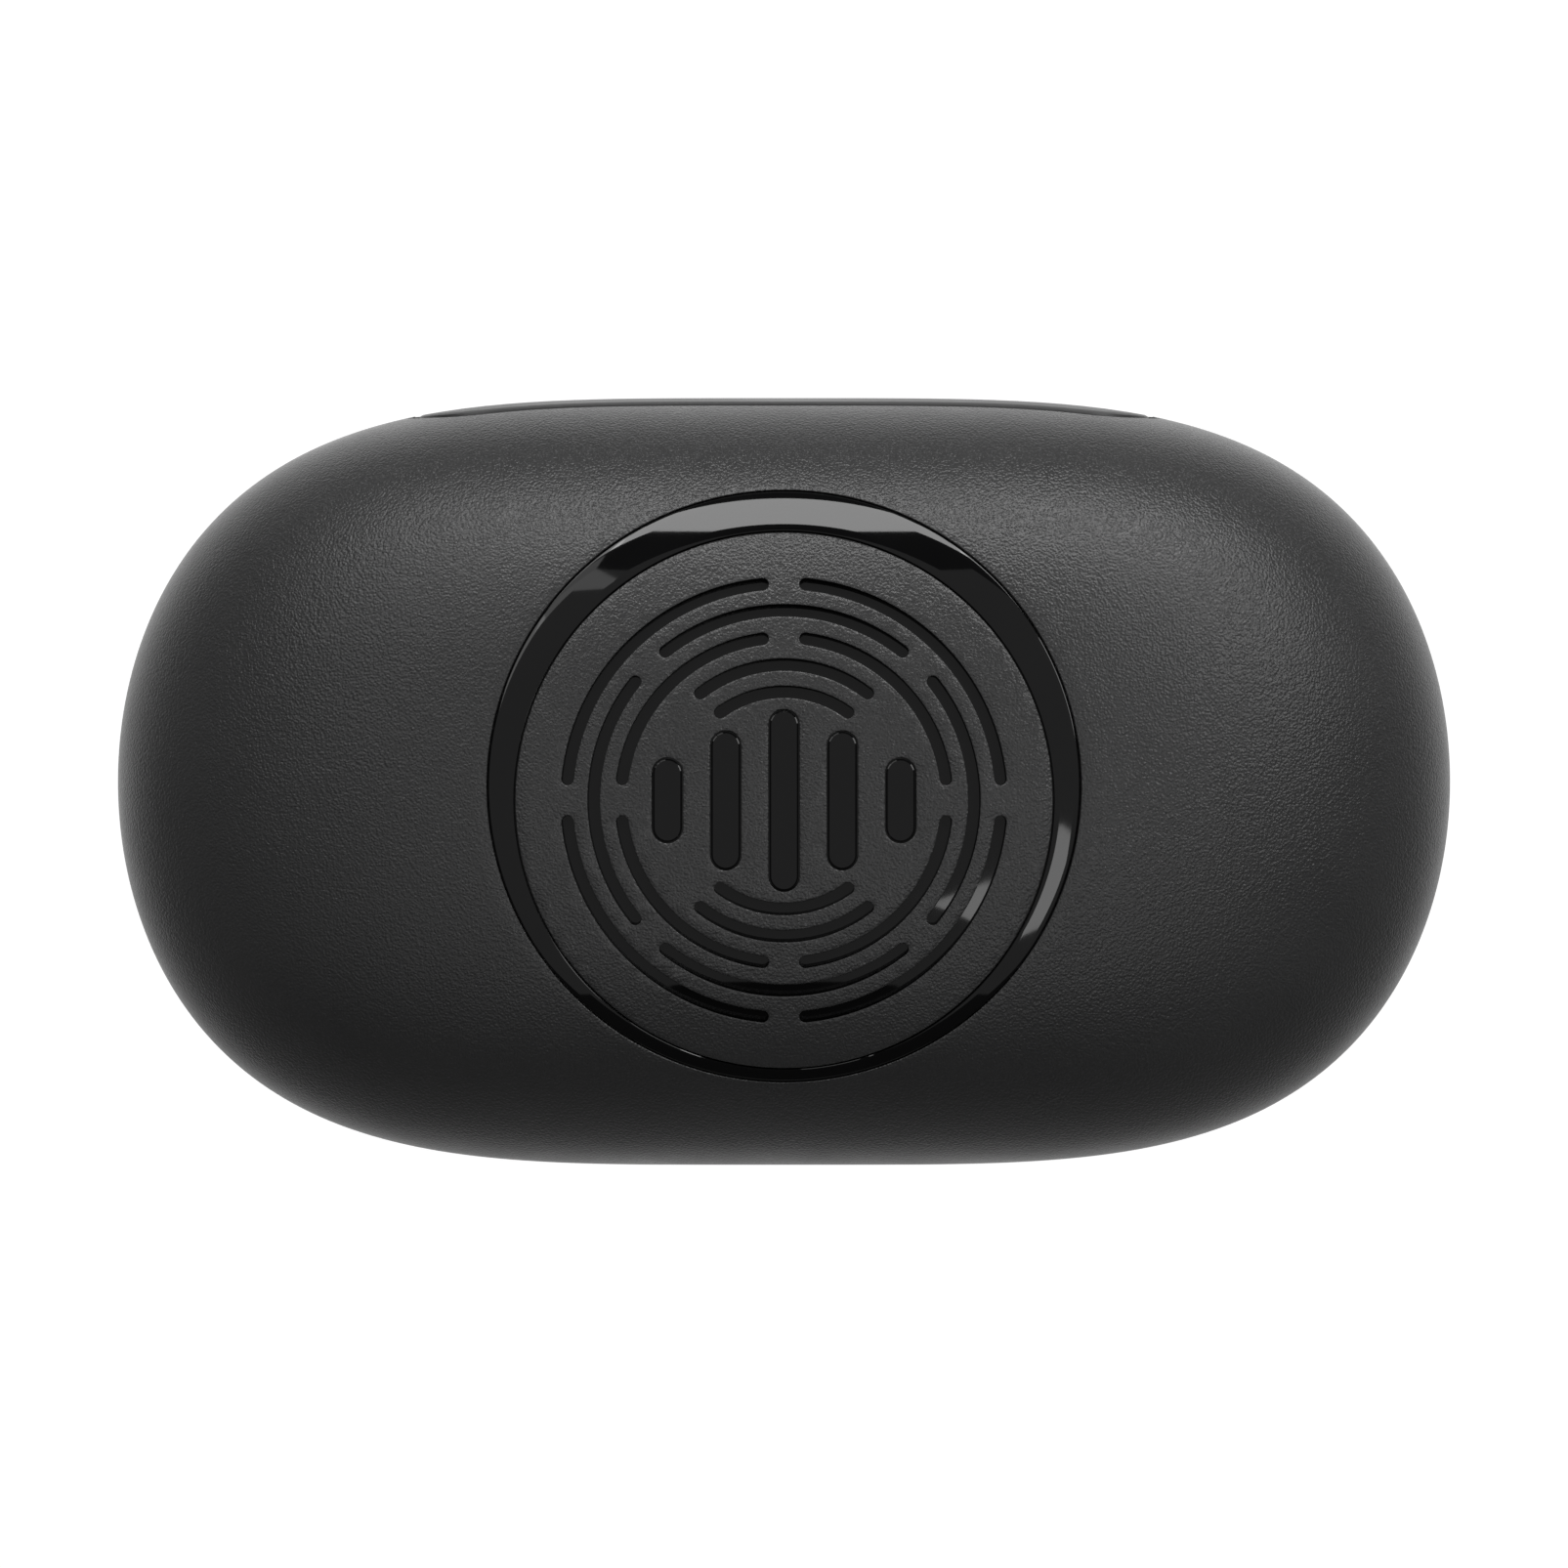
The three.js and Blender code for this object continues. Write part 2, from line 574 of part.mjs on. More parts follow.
function makeLidShell() {
  const cavity = join(
    pebble(RIM_WALL, LID_Z - 1, LINER_TOP + 0.1),
    pebble(WALL, LINER_TOP + 0.1, HEIGHT),
  );
  const bosses = both(rod(1.7, BOSS_FOOT, 31, 12).translate([BRACKET.screwX, BRACKET.screwY, 0]));
  const bores = both(rod(0.62, 0, BOSS_FOOT + 3, 10).translate([BRACKET.screwX, BRACKET.screwY, 0]));
  const notch = roundedRect(0, LID_Z - 2, LID_NOTCH_HALF, LID_NOTCH_HIGH - LID_Z + 2, COVER_CORNER + 1);
  const made = pebble(0, LID_Z, HEIGHT, SIDES)
    .subtract(cavity)
    .add(bosses.intersect(pebble(WALL - 0.4, BOSS_FOOT - 1, HEIGHT)))
    .subtract(bores)
    .subtract(wallSlab(notch, 15, FAR, 3))
    .subtract(ringRod(EMBLEM_FIT).subtract(pebble(EMBLEM_DEPTH, LID_Z, HEIGHT, DOME_SIDES)));
  return piece("lid_shell", made, "grained_shell");
}

function makeLiner() {
  const plate = pebble(RIM_WALL + TRAY_FIT, LINER_BOTTOM, LINER_TOP);
  const thick = LINER_TOP - LINER_BOTTOM;
  const cups = wells(LINER_TOP, thick - LINER_BOWL_DEPTH, thick - LINER_STEM_DEPTH, TRAY_WALL);
  const rim = COVER_HALF + 1.1;
  const limit = pebble(WALL + 0.2, LID_Z, HEIGHT).add(pebble(RIM_WALL + TRAY_FIT, LID_Z, LINER_TOP));
  const made = join(plate, cups)
    .intersect(limit)
    .subtract(wells(LINER_BOTTOM, -LINER_BOWL_DEPTH, -LINER_STEM_DEPTH, 0))
    .subtract(box(-rim, rim, 14.95, FAR, 0, FAR))
    .subtract(both(box(armZone[0] - 0.1, armZone[1] + 0.1, BRACKET.frontY - 0.3, FAR, 0, FAR)));
  return piece("lid_liner", made, "satin_black");
}

// ------------------------------------------------------------------ emblem

function ringRod(grow) {
  return rod(RING.radius + grow, LID_Z, FAR, SIDES).translate([0, RING.y, 0]);
}

function discRod(grow) {
  return rod(DISC.radius + grow, LID_Z, FAR, SIDES).translate([0, DISC.y, 0]);
}

/** The layer of the crown's dome between two depths. */
function domeLayer(outer, inner) {
  return layer(outer, inner, LID_Z, HEIGHT, DOME_SIDES);
}

/** An arc slot with round ends, centred on the disc, as a closed path. */
function arcSlot(radius, from, to) {
  const half = SLOT_WIDTH / 2;
  const steps = 3;
  const points = [];
  const add = (r, angle) => {
    points.push(new THREE.Vector2(r * Math.cos(angle), DISC.y + r * Math.sin(angle)));
  };
  for (let i = 0; i <= steps; i++) add(radius + half, from + ((to - from) * i) / steps);
  add(radius, to + half / radius);
  for (let i = steps; i >= 0; i--) add(radius - half, from + ((to - from) * i) / steps);
  add(radius, from - half / radius);
  return new THREE.Path(points);
}

/** The slots: three broken rings round the disc, and two short arcs above and below the bars. */
function slotPaths() {
  const paths = [];
  const breaks = 4;
  const outer = 8 * SLOT_PITCH;
  for (let ring = 0; ring < 3; ring++) {
    const radius = outer - ring * SLOT_PITCH;
    const gap = 1.1 / radius;
    for (let i = 0; i < breaks; i++) {
      const from = ((i + (ring % 2) / 2) * 2 * Math.PI) / breaks;
      paths.push(arcSlot(radius, from + gap, from + (2 * Math.PI) / breaks - gap));
    }
  }
  for (const [ring, reach] of [[3, 38], [4, 36]]) {
    const swing = (reach * Math.PI) / 180;
    for (const middle of [Math.PI / 2, -Math.PI / 2]) {
      paths.push(arcSlot(outer - ring * SLOT_PITCH, middle - swing, middle + swing));
    }
  }
  return paths;
}

/** The five upright bars in the middle, drawn in by inset. */
function barPaths(inset) {
  return BAR_HALVES.map((half, i) => {
    const x = (i - (BAR_HALVES.length - 1) / 2) * BAR_PITCH;
    const radius = BAR_WIDTH / 2 - inset;
    return roundedRect(x, DISC.y, radius, half - inset, radius * 0.98);
  });
}

function makeEmblemDisc() {
  const face = new THREE.Shape().absarc(0, DISC.y, DISC.radius - EMBLEM_FIT, 0, 2 * Math.PI);
  const outline = new THREE.Shape(face.getSpacedPoints(SIDES).slice(0, -1));
  outline.holes.push(...slotPaths());
  barPaths(0).forEach((bar) => outline.holes.push(new THREE.Path(bar.getPoints(2))));
  const made = slab(outline, LID_Z, FAR).intersect(domeLayer(0, DISC_DEPTH));
  return piece("emblem_disc", made, "grained_shell");
}

function makeEmblemInsert() {
  const plate = ringRod(0).intersect(domeLayer(0.02, INSERT_DEPTH));
  const bars = join(...barPaths(EMBLEM_FIT).map((bar) => slab(bar, LID_Z, FAR, 2)));
  const raised = bars.intersect(pebble(BAR_SINK, LID_Z, HEIGHT, DOME_SIDES));
  const well = discRod(0).subtract(pebble(INSERT_FLOOR, LID_Z - 1, HEIGHT, DOME_SIDES));
  return piece("emblem_insert", plate.subtract(well.subtract(raised)), "gloss_black");
}

// ------------------------------------------------------------------ electronics

function makeBoard() {
  const points = [];
  for (let i = 0; i < 32; i++) {
    const angle = (i / 32) * 2 * Math.PI;
    const [x, y] = outlinePoint(Math.cos(angle), Math.sin(angle), 0);
    points.push(new THREE.Vector2((x / HALF_LENGTH) * PCB.halfX, (y / HALF_DEPTH) * PCB.halfY));
  }
  const holes = BOARD_SCREWS.map(([x, y]) => rod(0.8, 0, FAR, 10).translate([x, y, 0]));
  const made = slab(new THREE.Shape(points), PCB.bottom, PCB_TOP).subtract(join(...holes));
  return piece("main_board", made, "board_green");
}

/** A low box standing on the board, or hanging below it when height is negative. */
function chip(name, x, y, width, depth, height, look = "chip_black") {
  const lift = 0.05;
  const z = height > 0 ? PCB_TOP + lift + height / 2 : PCB.bottom - lift + height / 2;
  const body = new THREE.BoxGeometry(width, depth, Math.abs(height));
  return placed(piece(name, solidOf(body), look), x, y, z);
}

/** A drum core with its winding's waist. */
function makeInductor() {
  const rim = 1.5;
  const waist = 1.1;
  const height = 1.6;
  const made = turned(
    [[0, 0], [rim, 0], [rim, 0.3], [waist, 0.5], [waist, 1.1], [rim, 1.3], [rim, height], [0, height]],
    12,
  );
  return placed(piece("inductor", made, "chip_black"), -4.6, -11.6, PCB_TOP + 0.05);
}

function makeUsbReceptacle() {
  const shellSolid = portPrism(0, USB.fromY, USB.toY).subtract(portPrism(-USB.wall, USB.fromY + 0.8, FAR));
  const tongue = box(-3.3, 3.3, USB.fromY + 0.9, USB.toY - 0.8, USB_Z - 0.35, USB_Z + 0.35);
  const root = box(-3.1, 3.1, USB.fromY + 0.9, USB.fromY + 2.2, USB_Z - 1.1, USB_Z + 1.1);
  const group = new THREE.Group();
  group.add(piece("usb_shell", shellSolid, "steel"), piece("usb_tongue", tongue.add(root), "chip_black"));
  return group;
}

/** A pan-head screw, head down, with its shank rising from z. */
function makeScrew(name, x, y, z) {
  const head = turned([[0, -0.8], [0.9, -0.8], [SCREW.head, -0.55], [SCREW.head, 0], [0, 0]], 12);
  const recess = join(box(-0.6, 0.6, -0.15, 0.15, -1, -0.45), box(-0.15, 0.15, -0.6, 0.6, -1, -0.45));
  const made = head.add(rod(SCREW.shank, -0.1, SCREW.length, 10)).subtract(recess);
  return placed(piece(name, made, "steel"), x, y, z);
}

function makeBattery() {
  const { halfX, halfY, bottom, thick } = BATTERY;
  const group = new THREE.Group();
  const cell = slab(roundedRect(0, 0, halfX, halfY, 2), bottom, bottom + thick, 2);
  const foam = slab(roundedRect(0, 0, 12, 6, 1), FLOOR + 0.1, bottom - 0.1, 2);
  group.add(piece("battery_cell", cell, "cell_foil"), piece("battery_foam", foam, "foam_black"));
  const guardX = halfX + 0.1;
  const guard = box(guardX, guardX + 0.9, -4, 4, bottom + 0.4, bottom + thick - 0.2);
  group.add(piece("battery_guard_board", guard, "board_green"));
  for (const [name, y] of [["battery_lead_red", 1.1], ["battery_lead_black", -1.1]]) {
    const path = new THREE.CatmullRomCurve3([
      new THREE.Vector3(guardX + 1.0, y, 5.0),
      new THREE.Vector3(guardX + 1.9, y, 4.9),
      new THREE.Vector3(guardX + 2.9, y, 6.3),
      new THREE.Vector3(guardX + 3.8, y, 6.4),
    ]);
    const section = new THREE.Shape().absarc(0, 0, LEAD_RADIUS, 0, 2 * Math.PI);
    const options = { steps: 8, curveSegments: 4, bevelEnabled: false, extrudePath: path };
    const lead = solidOf(new THREE.ExtrudeGeometry(section, options));
    group.add(piece(name, lead, name.replace("battery_lead", "wire")));
  }
  return group;
}

function makeMagnets() {
  const group = new THREE.Group();
  const { width, depth, y } = LATCH_MAGNET;
  const bar = (height) => solidOf(new THREE.BoxGeometry(width, depth, height));
  const below = CRADLE_BOTTOM - 0.1 - LATCH_MAGNET.base / 2;
  const above = LINER_TOP + 0.1 + LATCH_MAGNET.lid / 2;
  group.add(placed(piece("latch_magnet_base", bar(LATCH_MAGNET.base), "nickel"), 0, y, below));
  group.add(placed(piece("latch_magnet_lid", bar(LATCH_MAGNET.lid), "nickel"), 0, y, above));
  for (const [name, side] of [["right", 1], ["left", -1]]) {
    const disc = rod(BUD_MAGNET.radius, 0, BUD_MAGNET.thick, 16);
    const x = side * (STEM.fromX - 0.6);
    group.add(placed(piece(`bud_magnet_${name}`, disc, "nickel"), x, STEM.fromY - 0.8, PCB_TOP + 0.1));
  }
  return group;
}

// ------------------------------------------------------------------ assembly

const base = new THREE.Group();
base.add(makeBaseShell(), makePortSurround(), makeLightPipe(), makeCradle());
base.add(makeHingeCover(), makeHingePin(), makeHingeSpring());
base.add(makeContacts(), makeContactBlock(1), makeContactBlock(-1));
base.add(makeBoard(), makeUsbReceptacle(), makeBattery(), makeInductor());
base.add(chip("charger_chip", 3.4, -11.6, 3, 3, 0.8));
base.add(chip("controller_chip", 0, 2.5, 4, 4, -0.8));
base.add(chip("lid_sensor", -8.2, -12.4, 1.6, 1.2, 0.7));
base.add(chip("status_led", 0, -13.4, 1.6, 0.8, 0.6, "light_pipe"));
base.add(chip("battery_connector", 21.6, 0, 3, 4.4, -1.7, "connector_white"));
BOARD_SCREWS.forEach(([x, y], i) => base.add(makeScrew(`board_screw_${i + 1}`, x, y, PCB.bottom - 0.05)));

const lid = new THREE.Group();
lid.add(makeLidShell(), makeLiner(), makeEmblemDisc(), makeEmblemInsert(), makeHingeBracket());
[-1, 1].forEach((side, i) => {
  const z = BRACKET.flangeZ - 0.05;
  lid.add(makeScrew(`lid_screw_${i + 1}`, side * BRACKET.screwX, BRACKET.screwY, z));
});

const earbudsCase = new THREE.Group();
earbudsCase.add(base, lid, makeMagnets());

export default earbudsCase;
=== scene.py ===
"""The looks of an earbuds charging case, built round its CAD frame.

The frame is the CAD model's: +X along the case, +Y towards the hinge, +Z up. Shapes are worked out in
millimetres and become metres when their mesh is made. The outside is laid out on the case's own
formula, a pebble whose level sections are |x / half length|^4 + |y / half depth|^2 = 1.
"""

import json
import math

import bmesh
import bpy
import numpy as np
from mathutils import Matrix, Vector


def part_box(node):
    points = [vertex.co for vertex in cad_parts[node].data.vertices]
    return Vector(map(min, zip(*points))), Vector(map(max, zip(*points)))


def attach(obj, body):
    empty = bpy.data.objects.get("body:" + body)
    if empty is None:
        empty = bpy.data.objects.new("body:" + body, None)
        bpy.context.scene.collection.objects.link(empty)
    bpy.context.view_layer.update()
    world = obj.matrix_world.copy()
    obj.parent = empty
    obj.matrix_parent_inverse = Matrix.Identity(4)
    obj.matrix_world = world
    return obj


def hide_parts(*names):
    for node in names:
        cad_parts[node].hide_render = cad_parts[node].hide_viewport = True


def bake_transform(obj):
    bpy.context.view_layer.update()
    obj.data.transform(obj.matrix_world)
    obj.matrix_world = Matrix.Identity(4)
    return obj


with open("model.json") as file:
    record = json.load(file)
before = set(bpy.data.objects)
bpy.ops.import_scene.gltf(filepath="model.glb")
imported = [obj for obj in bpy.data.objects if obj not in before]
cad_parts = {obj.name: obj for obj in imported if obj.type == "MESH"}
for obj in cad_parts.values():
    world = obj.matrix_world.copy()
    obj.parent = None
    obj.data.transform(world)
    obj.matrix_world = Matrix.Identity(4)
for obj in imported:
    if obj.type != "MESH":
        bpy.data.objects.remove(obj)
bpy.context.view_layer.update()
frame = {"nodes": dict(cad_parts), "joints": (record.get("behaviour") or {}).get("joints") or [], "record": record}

# ---------- sizes, in millimetres

MM = 0.001


def box_mm(node):
    """A CAD node's lowest and highest corners."""
    low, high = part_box(node)
    return np.array(low) / MM, np.array(high) / MM


HALF_LENGTH = 35.0
HALF_DEPTH = 20.15
HEIGHT = 33.0
BELT_Z = 18.5
CROWN_RISE = HEIGHT - BELT_Z
BELLY_DROP = 19.5
CROWN_POWER = 2.6
BELLY_POWER = 2.8
RIM_Z = box_mm("base_shell")[1][2]
LID_Z = box_mm("lid_shell")[0][2]

RIM_WALL = 1.5
WALL = 2.1
FLOOR = 1.8
TRAY_FIT = 0.15
TRAY_WALL = 1.2
LEDGE_Z = 17.9
WELL_EDGE = 0.35
CRADLE_TOP = box_mm("cradle")[1][2]
CRADLE_BOTTOM = 18.0
CRADLE_BACK = 16.7
LINER_BOTTOM = box_mm("lid_liner")[0][2]
LINER_TOP = 22.0
LINER_BACK = 14.95

# One earbud well, on the right, and the pocket between the wells.
BOWL = {"x": 20.5, "y": 3.0, "rx": 9.5, "ry": 10.5, "power": 2.5}
STEM = {"from": (17.0, -2.0), "to": (12.2, -12.6), "radius": 4.0, "edge": 0.6}
CRADLE_BOWL_DEPTH = 9.5
CRADLE_STEM_DEPTH = 7.5
LINER_BOWL_DEPTH = 7.0
LINER_STEM_DEPTH = 2.0
DONGLE = {"half_x": 4.2, "half_y": 8.5, "depth": 10.0, "corner": 1.6}

# Hinge.
HINGE = np.array(frame["joints"][0]["pos_m"]) / MM
COVER_LOW = box_mm("hinge_cover")[0][2]
COVER_HIGH = box_mm("hinge_cover")[1][2]
COVER_HALF = box_mm("hinge_cover")[1][0]
COVER_MIDDLE = (COVER_LOW + COVER_HIGH) / 2
COVER_HALF_Z = (COVER_HIGH - COVER_LOW) / 2
COVER_CORNER = 3.4
COVER_THICK = 1.0
COVER_FIT = 0.2
NOTCH_HALF = 20.1
NOTCH_HIGH = COVER_HIGH + 0.95
NOTCH_LOW = LID_Z - 6
WALL_CUT = (15.0, HALF_DEPTH + 2)
KNUCKLES = {"spans": [(6.2, 9.2), (13.6, 17.2)], "radius": 1.3, "front": 17.0, "back": 19.7}
ARM = {"from": 9.6, "to": 13.2}
SWEEP_RADIUS = 1.2
PIN_RADIUS = 0.5
PIN_BORE = 0.58
PIN_BORE_HALF = 16.5
SPRING = {"radius": 0.82, "turns": 7, "pitch": 0.36, "wire": 0.15, "room": 6.0}
BRACKET = {"front": 13.8, "z": 24.5, "leaf": 1.0, "screw": (8.0, 10.6)}
BOSS = {"radius": 1.7, "bore": 0.62, "under_crown": 1.6}

# Emblem.
DISC = {"y": -0.98, "radius": 13.9}
RING = {"y": -0.25, "radius": 15.25}
EMBLEM_FIT = 0.06
EMBLEM_DEPTH = 1.1
INSERT_DEPTH = 1.0
INSERT_FLOOR = 0.5
INSERT_SINK = 0.02
DISC_DEPTH = 0.4
DISC_SINK = 0.042
BAR_SINK = 0.12
SLOT_WIDTH = 0.62
SLOT_PITCH = 1.4
BAR_WIDTH = 1.6
BAR_PITCH = 3.0
BAR_HALVES = (2.2, 3.6, 4.7, 3.6, 2.2)

# Contacts, port, light window and thumb scoop.
CONTACTS = ("right_rear", "right_front", "left_rear", "left_front")
CONTACT = {"radius": 0.48, "dome": 0.3, "edge": 0.06, "hole": 1.0}
COIL = {"radius": 0.34, "turns": 3.5, "wire": 0.07}
PORT_Z = sum(box_mm("usb_shell")[i][2] for i in (0, 1)) / 2
PORT = {"half_x": 4.47, "half_z": 1.63, "seat": 0.9, "wall": 0.3}
TONGUE = {"half": (3.3, 0.35), "root_half": (3.1, 1.1), "root": 1.3}
PADS = {"count": 12, "pitch": 0.5, "half": 0.12, "proud": 0.03}
LIGHT = {"half": 3.0, "radius": 0.7, "z": 13.0, "fit": 0.08, "thick": 3.9, "proud": 0.04}
SCOOP = {"radius": 14.0, "depth": 0.9, "wide": 1.1, "tall": 0.5, "z": RIM_Z + 0.6, "soft": 0.12}
FOOT_SOFT = 0.25

COLUMNS = 384
QUARTER = math.pi / 2
EDGE = 0.3
FINE_EDGE = 0.1
# A rounded edge's steps, as shares of its radius across and down.
FILLET = [(1 - math.cos(a), 1 - math.sin(a)) for a in (0.0, QUARTER / 3, QUARTER * 2 / 3, QUARTER)]

# ---------- the pebble's formula


def outline(angle):
    """The unit outline in a direction of the unit circle."""
    cos2 = np.cos(angle) ** 2
    sin2 = np.sin(angle) ** 2
    scale = np.sqrt(2 / (sin2 + np.sqrt(sin2 * sin2 + 4 * cos2 * cos2)))
    return np.cos(angle) * scale, np.sin(angle) * scale


def reach(crown, inset=0.0):
    """How far the crown or the foot lies from the belt."""
    return (CROWN_RISE if crown else BELLY_DROP) - inset


def power_of(crown):
    return CROWN_POWER if crown else BELLY_POWER


def swing_at(z, inset=0.0, crown=True):
    """How far round the section a height lies: 0 at the belt, a quarter turn at the crown or foot."""
    share = np.clip(abs(z - BELT_Z) / reach(crown, inset), 0, 1)
    return np.arcsin(share ** (power_of(crown) / 2))


def skin(angle, swing, inset=0.0, crown=True):
    """Points of the pebble drawn in by inset, as an N by 3 array."""
    power = power_of(crown)
    girth = np.cos(swing) ** (2 / power)
    rise = reach(crown, inset) * np.sin(swing) ** (2 / power)
    x, y = outline(angle)
    z = BELT_Z + (rise if crown else -rise)
    return xyz(x * girth * (HALF_LENGTH - inset), y * girth * (HALF_DEPTH - inset), z)


def crown_height(x, y):
    """The height of the crown over a point of the plan."""
    quartic = (x / HALF_LENGTH) ** 4
    square = (y / HALF_DEPTH) ** 2
    girth = np.sqrt((square + np.sqrt(square * square + 4 * quartic)) / 2)
    rise = np.clip(1 - girth ** CROWN_POWER, 0, 1) ** (1 / CROWN_POWER)
    return BELT_Z + reach(True) * rise


def back_depth(x, z):
    """How far the back wall, or the front wall, lies from the middle."""
    y = np.zeros_like(x)
    for crown in (True, False):
        here = (z >= BELT_Z) if crown else (z < BELT_Z)
        power = power_of(crown)
        share = np.clip(np.abs(z - BELT_Z) / reach(crown), 0, 1)
        girth = (1 - share ** power) ** (1 / power)
        wide = np.clip(np.abs(x) / (HALF_LENGTH * girth), 0, 1)
        depth = HALF_DEPTH * girth * np.sqrt(1 - wide ** 4)
        y = np.where(here, depth, y)
    return y


def smooth_max(a, b, soft):
    return (a + b + np.sqrt((a - b) ** 2 + soft * soft)) / 2


def xyz(x, y, z):
    """Points from their coordinates, any of which may be one number for all."""
    return np.stack(np.broadcast_arrays(x, y, z), axis=1)


def full_turn(count):
    """Angles evenly round a circle."""
    return np.linspace(0, 2 * math.pi, count, endpoint=False)


ANGLES = full_turn(COLUMNS)

# ---------- meshes


def placed(name, data):
    """A new object in the scene."""
    thing = bpy.data.objects.new(name, data)
    bpy.context.scene.collection.objects.link(thing)
    return thing


def finished(thing):
    """An object's mesh with its modifiers or its curve's settings carried out."""
    depsgraph = bpy.context.evaluated_depsgraph_get()
    return bpy.data.meshes.new_from_object(thing.evaluated_get(depsgraph))


def face_out(work):
    """Turns every face of a closed shape to point out."""
    bmesh.ops.recalc_face_normals(work, faces=work.faces)
    if work.calc_volume(signed=True) < 0:
        bmesh.ops.reverse_faces(work, faces=work.faces)


def mesh_from(points, faces):
    """A closed mesh in millimetres, its faces pointing out."""
    mesh = bpy.data.meshes.new("part")
    mesh.from_pydata([tuple(map(float, p)) for p in points], [], faces)
    work = bmesh.new()
    work.from_mesh(mesh)
    bmesh.ops.remove_doubles(work, verts=work.verts, dist=1e-5)
    face_out(work)
    work.to_mesh(mesh)
    work.free()
    return mesh


def bands(rows, count, total):
    """The faces between each closed loop and the next, with the first after the last."""
    faces = []
    for row in range(rows):
        low, high = row * count, (row + 1) * count % total
        for i in range(count):
            j = (i + 1) % count
            faces.append((low + i, low + j, high + j, high + i))
    return faces


def loops_mesh(loops, start=None, end=None):
    """A skin over closed loops of equal length, shut by a point or, without one, by a flat face."""
    count = len(loops[0])
    points = [p for loop in loops for p in loop]
    faces = bands(len(loops) - 1, count, len(points))
    for point, row in ((start, 0), (end, len(loops) - 1)):
        ring = [row * count + i for i in range(count)]
        if point is None:
            faces.append(tuple(ring))
            continue
        points.append(point)
        centre = len(points) - 1
        faces.extend((ring[i], ring[(i + 1) % count], centre) for i in range(count))
    return mesh_from(points, faces)


def prism(flat, low, high, axis="z"):
    """A flat outline, a list of (u, v), standing from low to high along z or, in x and z, along y."""
    u, v = np.array(flat, float).T
    return loops_mesh([xyz(u, v, w) if axis == "z" else xyz(u, w, v) for w in (low, high)])


def rounded_rect(x, y, half_x, half_y, corner, steps=10):
    """A rectangle with round corners, as points."""
    points = []
    for turn, (sx, sy) in enumerate(((1, -1), (1, 1), (-1, 1), (-1, -1))):
        for i in range(steps + 1):
            angle = (turn - 1 + i / steps) * QUARTER
            points.append((
                x + sx * (half_x - corner) + corner * math.cos(angle),
                y + sy * (half_y - corner) + corner * math.sin(angle),
            ))
    return points


def capsule(start, end, radius, steps=24):
    """A slot with round ends, as points."""
    heading = math.atan2(end[1] - start[1], end[0] - start[0])
    points = []
    for (x, y), turn in ((end, -QUARTER), (start, QUARTER)):
        for i in range(steps + 1):
            angle = heading + turn + math.pi * i / steps
            points.append((x + radius * math.cos(angle), y + radius * math.sin(angle)))
    return points


def cylinder(radius, start, end, sides=32, edge=0.0):
    """A round bar between two points, with its ends' edges rounded."""
    start, end = np.array(start, float), np.array(end, float)
    along = (end - start) / np.linalg.norm(end - start)
    side = np.cross(along, (0, 0, 1) if abs(along[2]) < 0.9 else (1, 0, 0))
    side /= np.linalg.norm(side)
    other = np.cross(along, side)
    turn = full_turn(sides)
    circle = np.outer(np.cos(turn), side) + np.outer(np.sin(turn), other)
    steps = FILLET if edge else FILLET[:1]
    rims = [(along * edge * across, circle * (radius - edge * down)) for across, down in steps]
    loops = [start + shift + rim for shift, rim in rims]
    loops += [end - shift + rim for shift, rim in reversed(rims)]
    return loops_mesh(loops)


def block(x0, x1, y0, y1, z0, z1):
    return prism([(x0, y0), (x1, y0), (x1, y1), (x0, y1)], z0, z1)


def mirrored(mesh):
    """The mirror image of a mesh, left for right."""
    work = bmesh.new()
    work.from_mesh(mesh)
    for v in work.verts:
        v.co.x = -v.co.x
    bmesh.ops.reverse_faces(work, faces=work.faces)
    other = bpy.data.meshes.new("part")
    work.to_mesh(other)
    work.free()
    return other


def both(mesh):
    return [mesh, mirrored(mesh)]


def combine(mesh, others, operation):
    """The mesh joined with, cut by or kept inside other meshes, one after another."""
    body = placed("body", mesh)
    tools = [placed("tool", other) for other in others]
    for tool in tools:
        modifier = body.modifiers.new("cut", "BOOLEAN")
        modifier.operation = operation
        modifier.solver = "EXACT"
        modifier.object = tool
    result = finished(body)
    for thing in [body, *tools]:
        bpy.data.objects.remove(thing)
    return result


def soften(mesh, level, width):
    """Rounds the edges that lie at one height, such as the rims of wells in a flat top."""
    work = bmesh.new()
    work.from_mesh(mesh)
    edges = [
        edge for edge in work.edges
        if all(abs(v.co.z - level) < 1e-3 for v in edge.verts)
        and len(edge.link_faces) == 2 and edge.calc_face_angle(0) > math.radians(30)
    ]
    bmesh.ops.bevel(
        work, geom=edges, offset=width, segments=3, profile=0.5,
        affect="EDGES", clamp_overlap=False,
    )
    face_out(work)
    work.to_mesh(mesh)
    work.free()


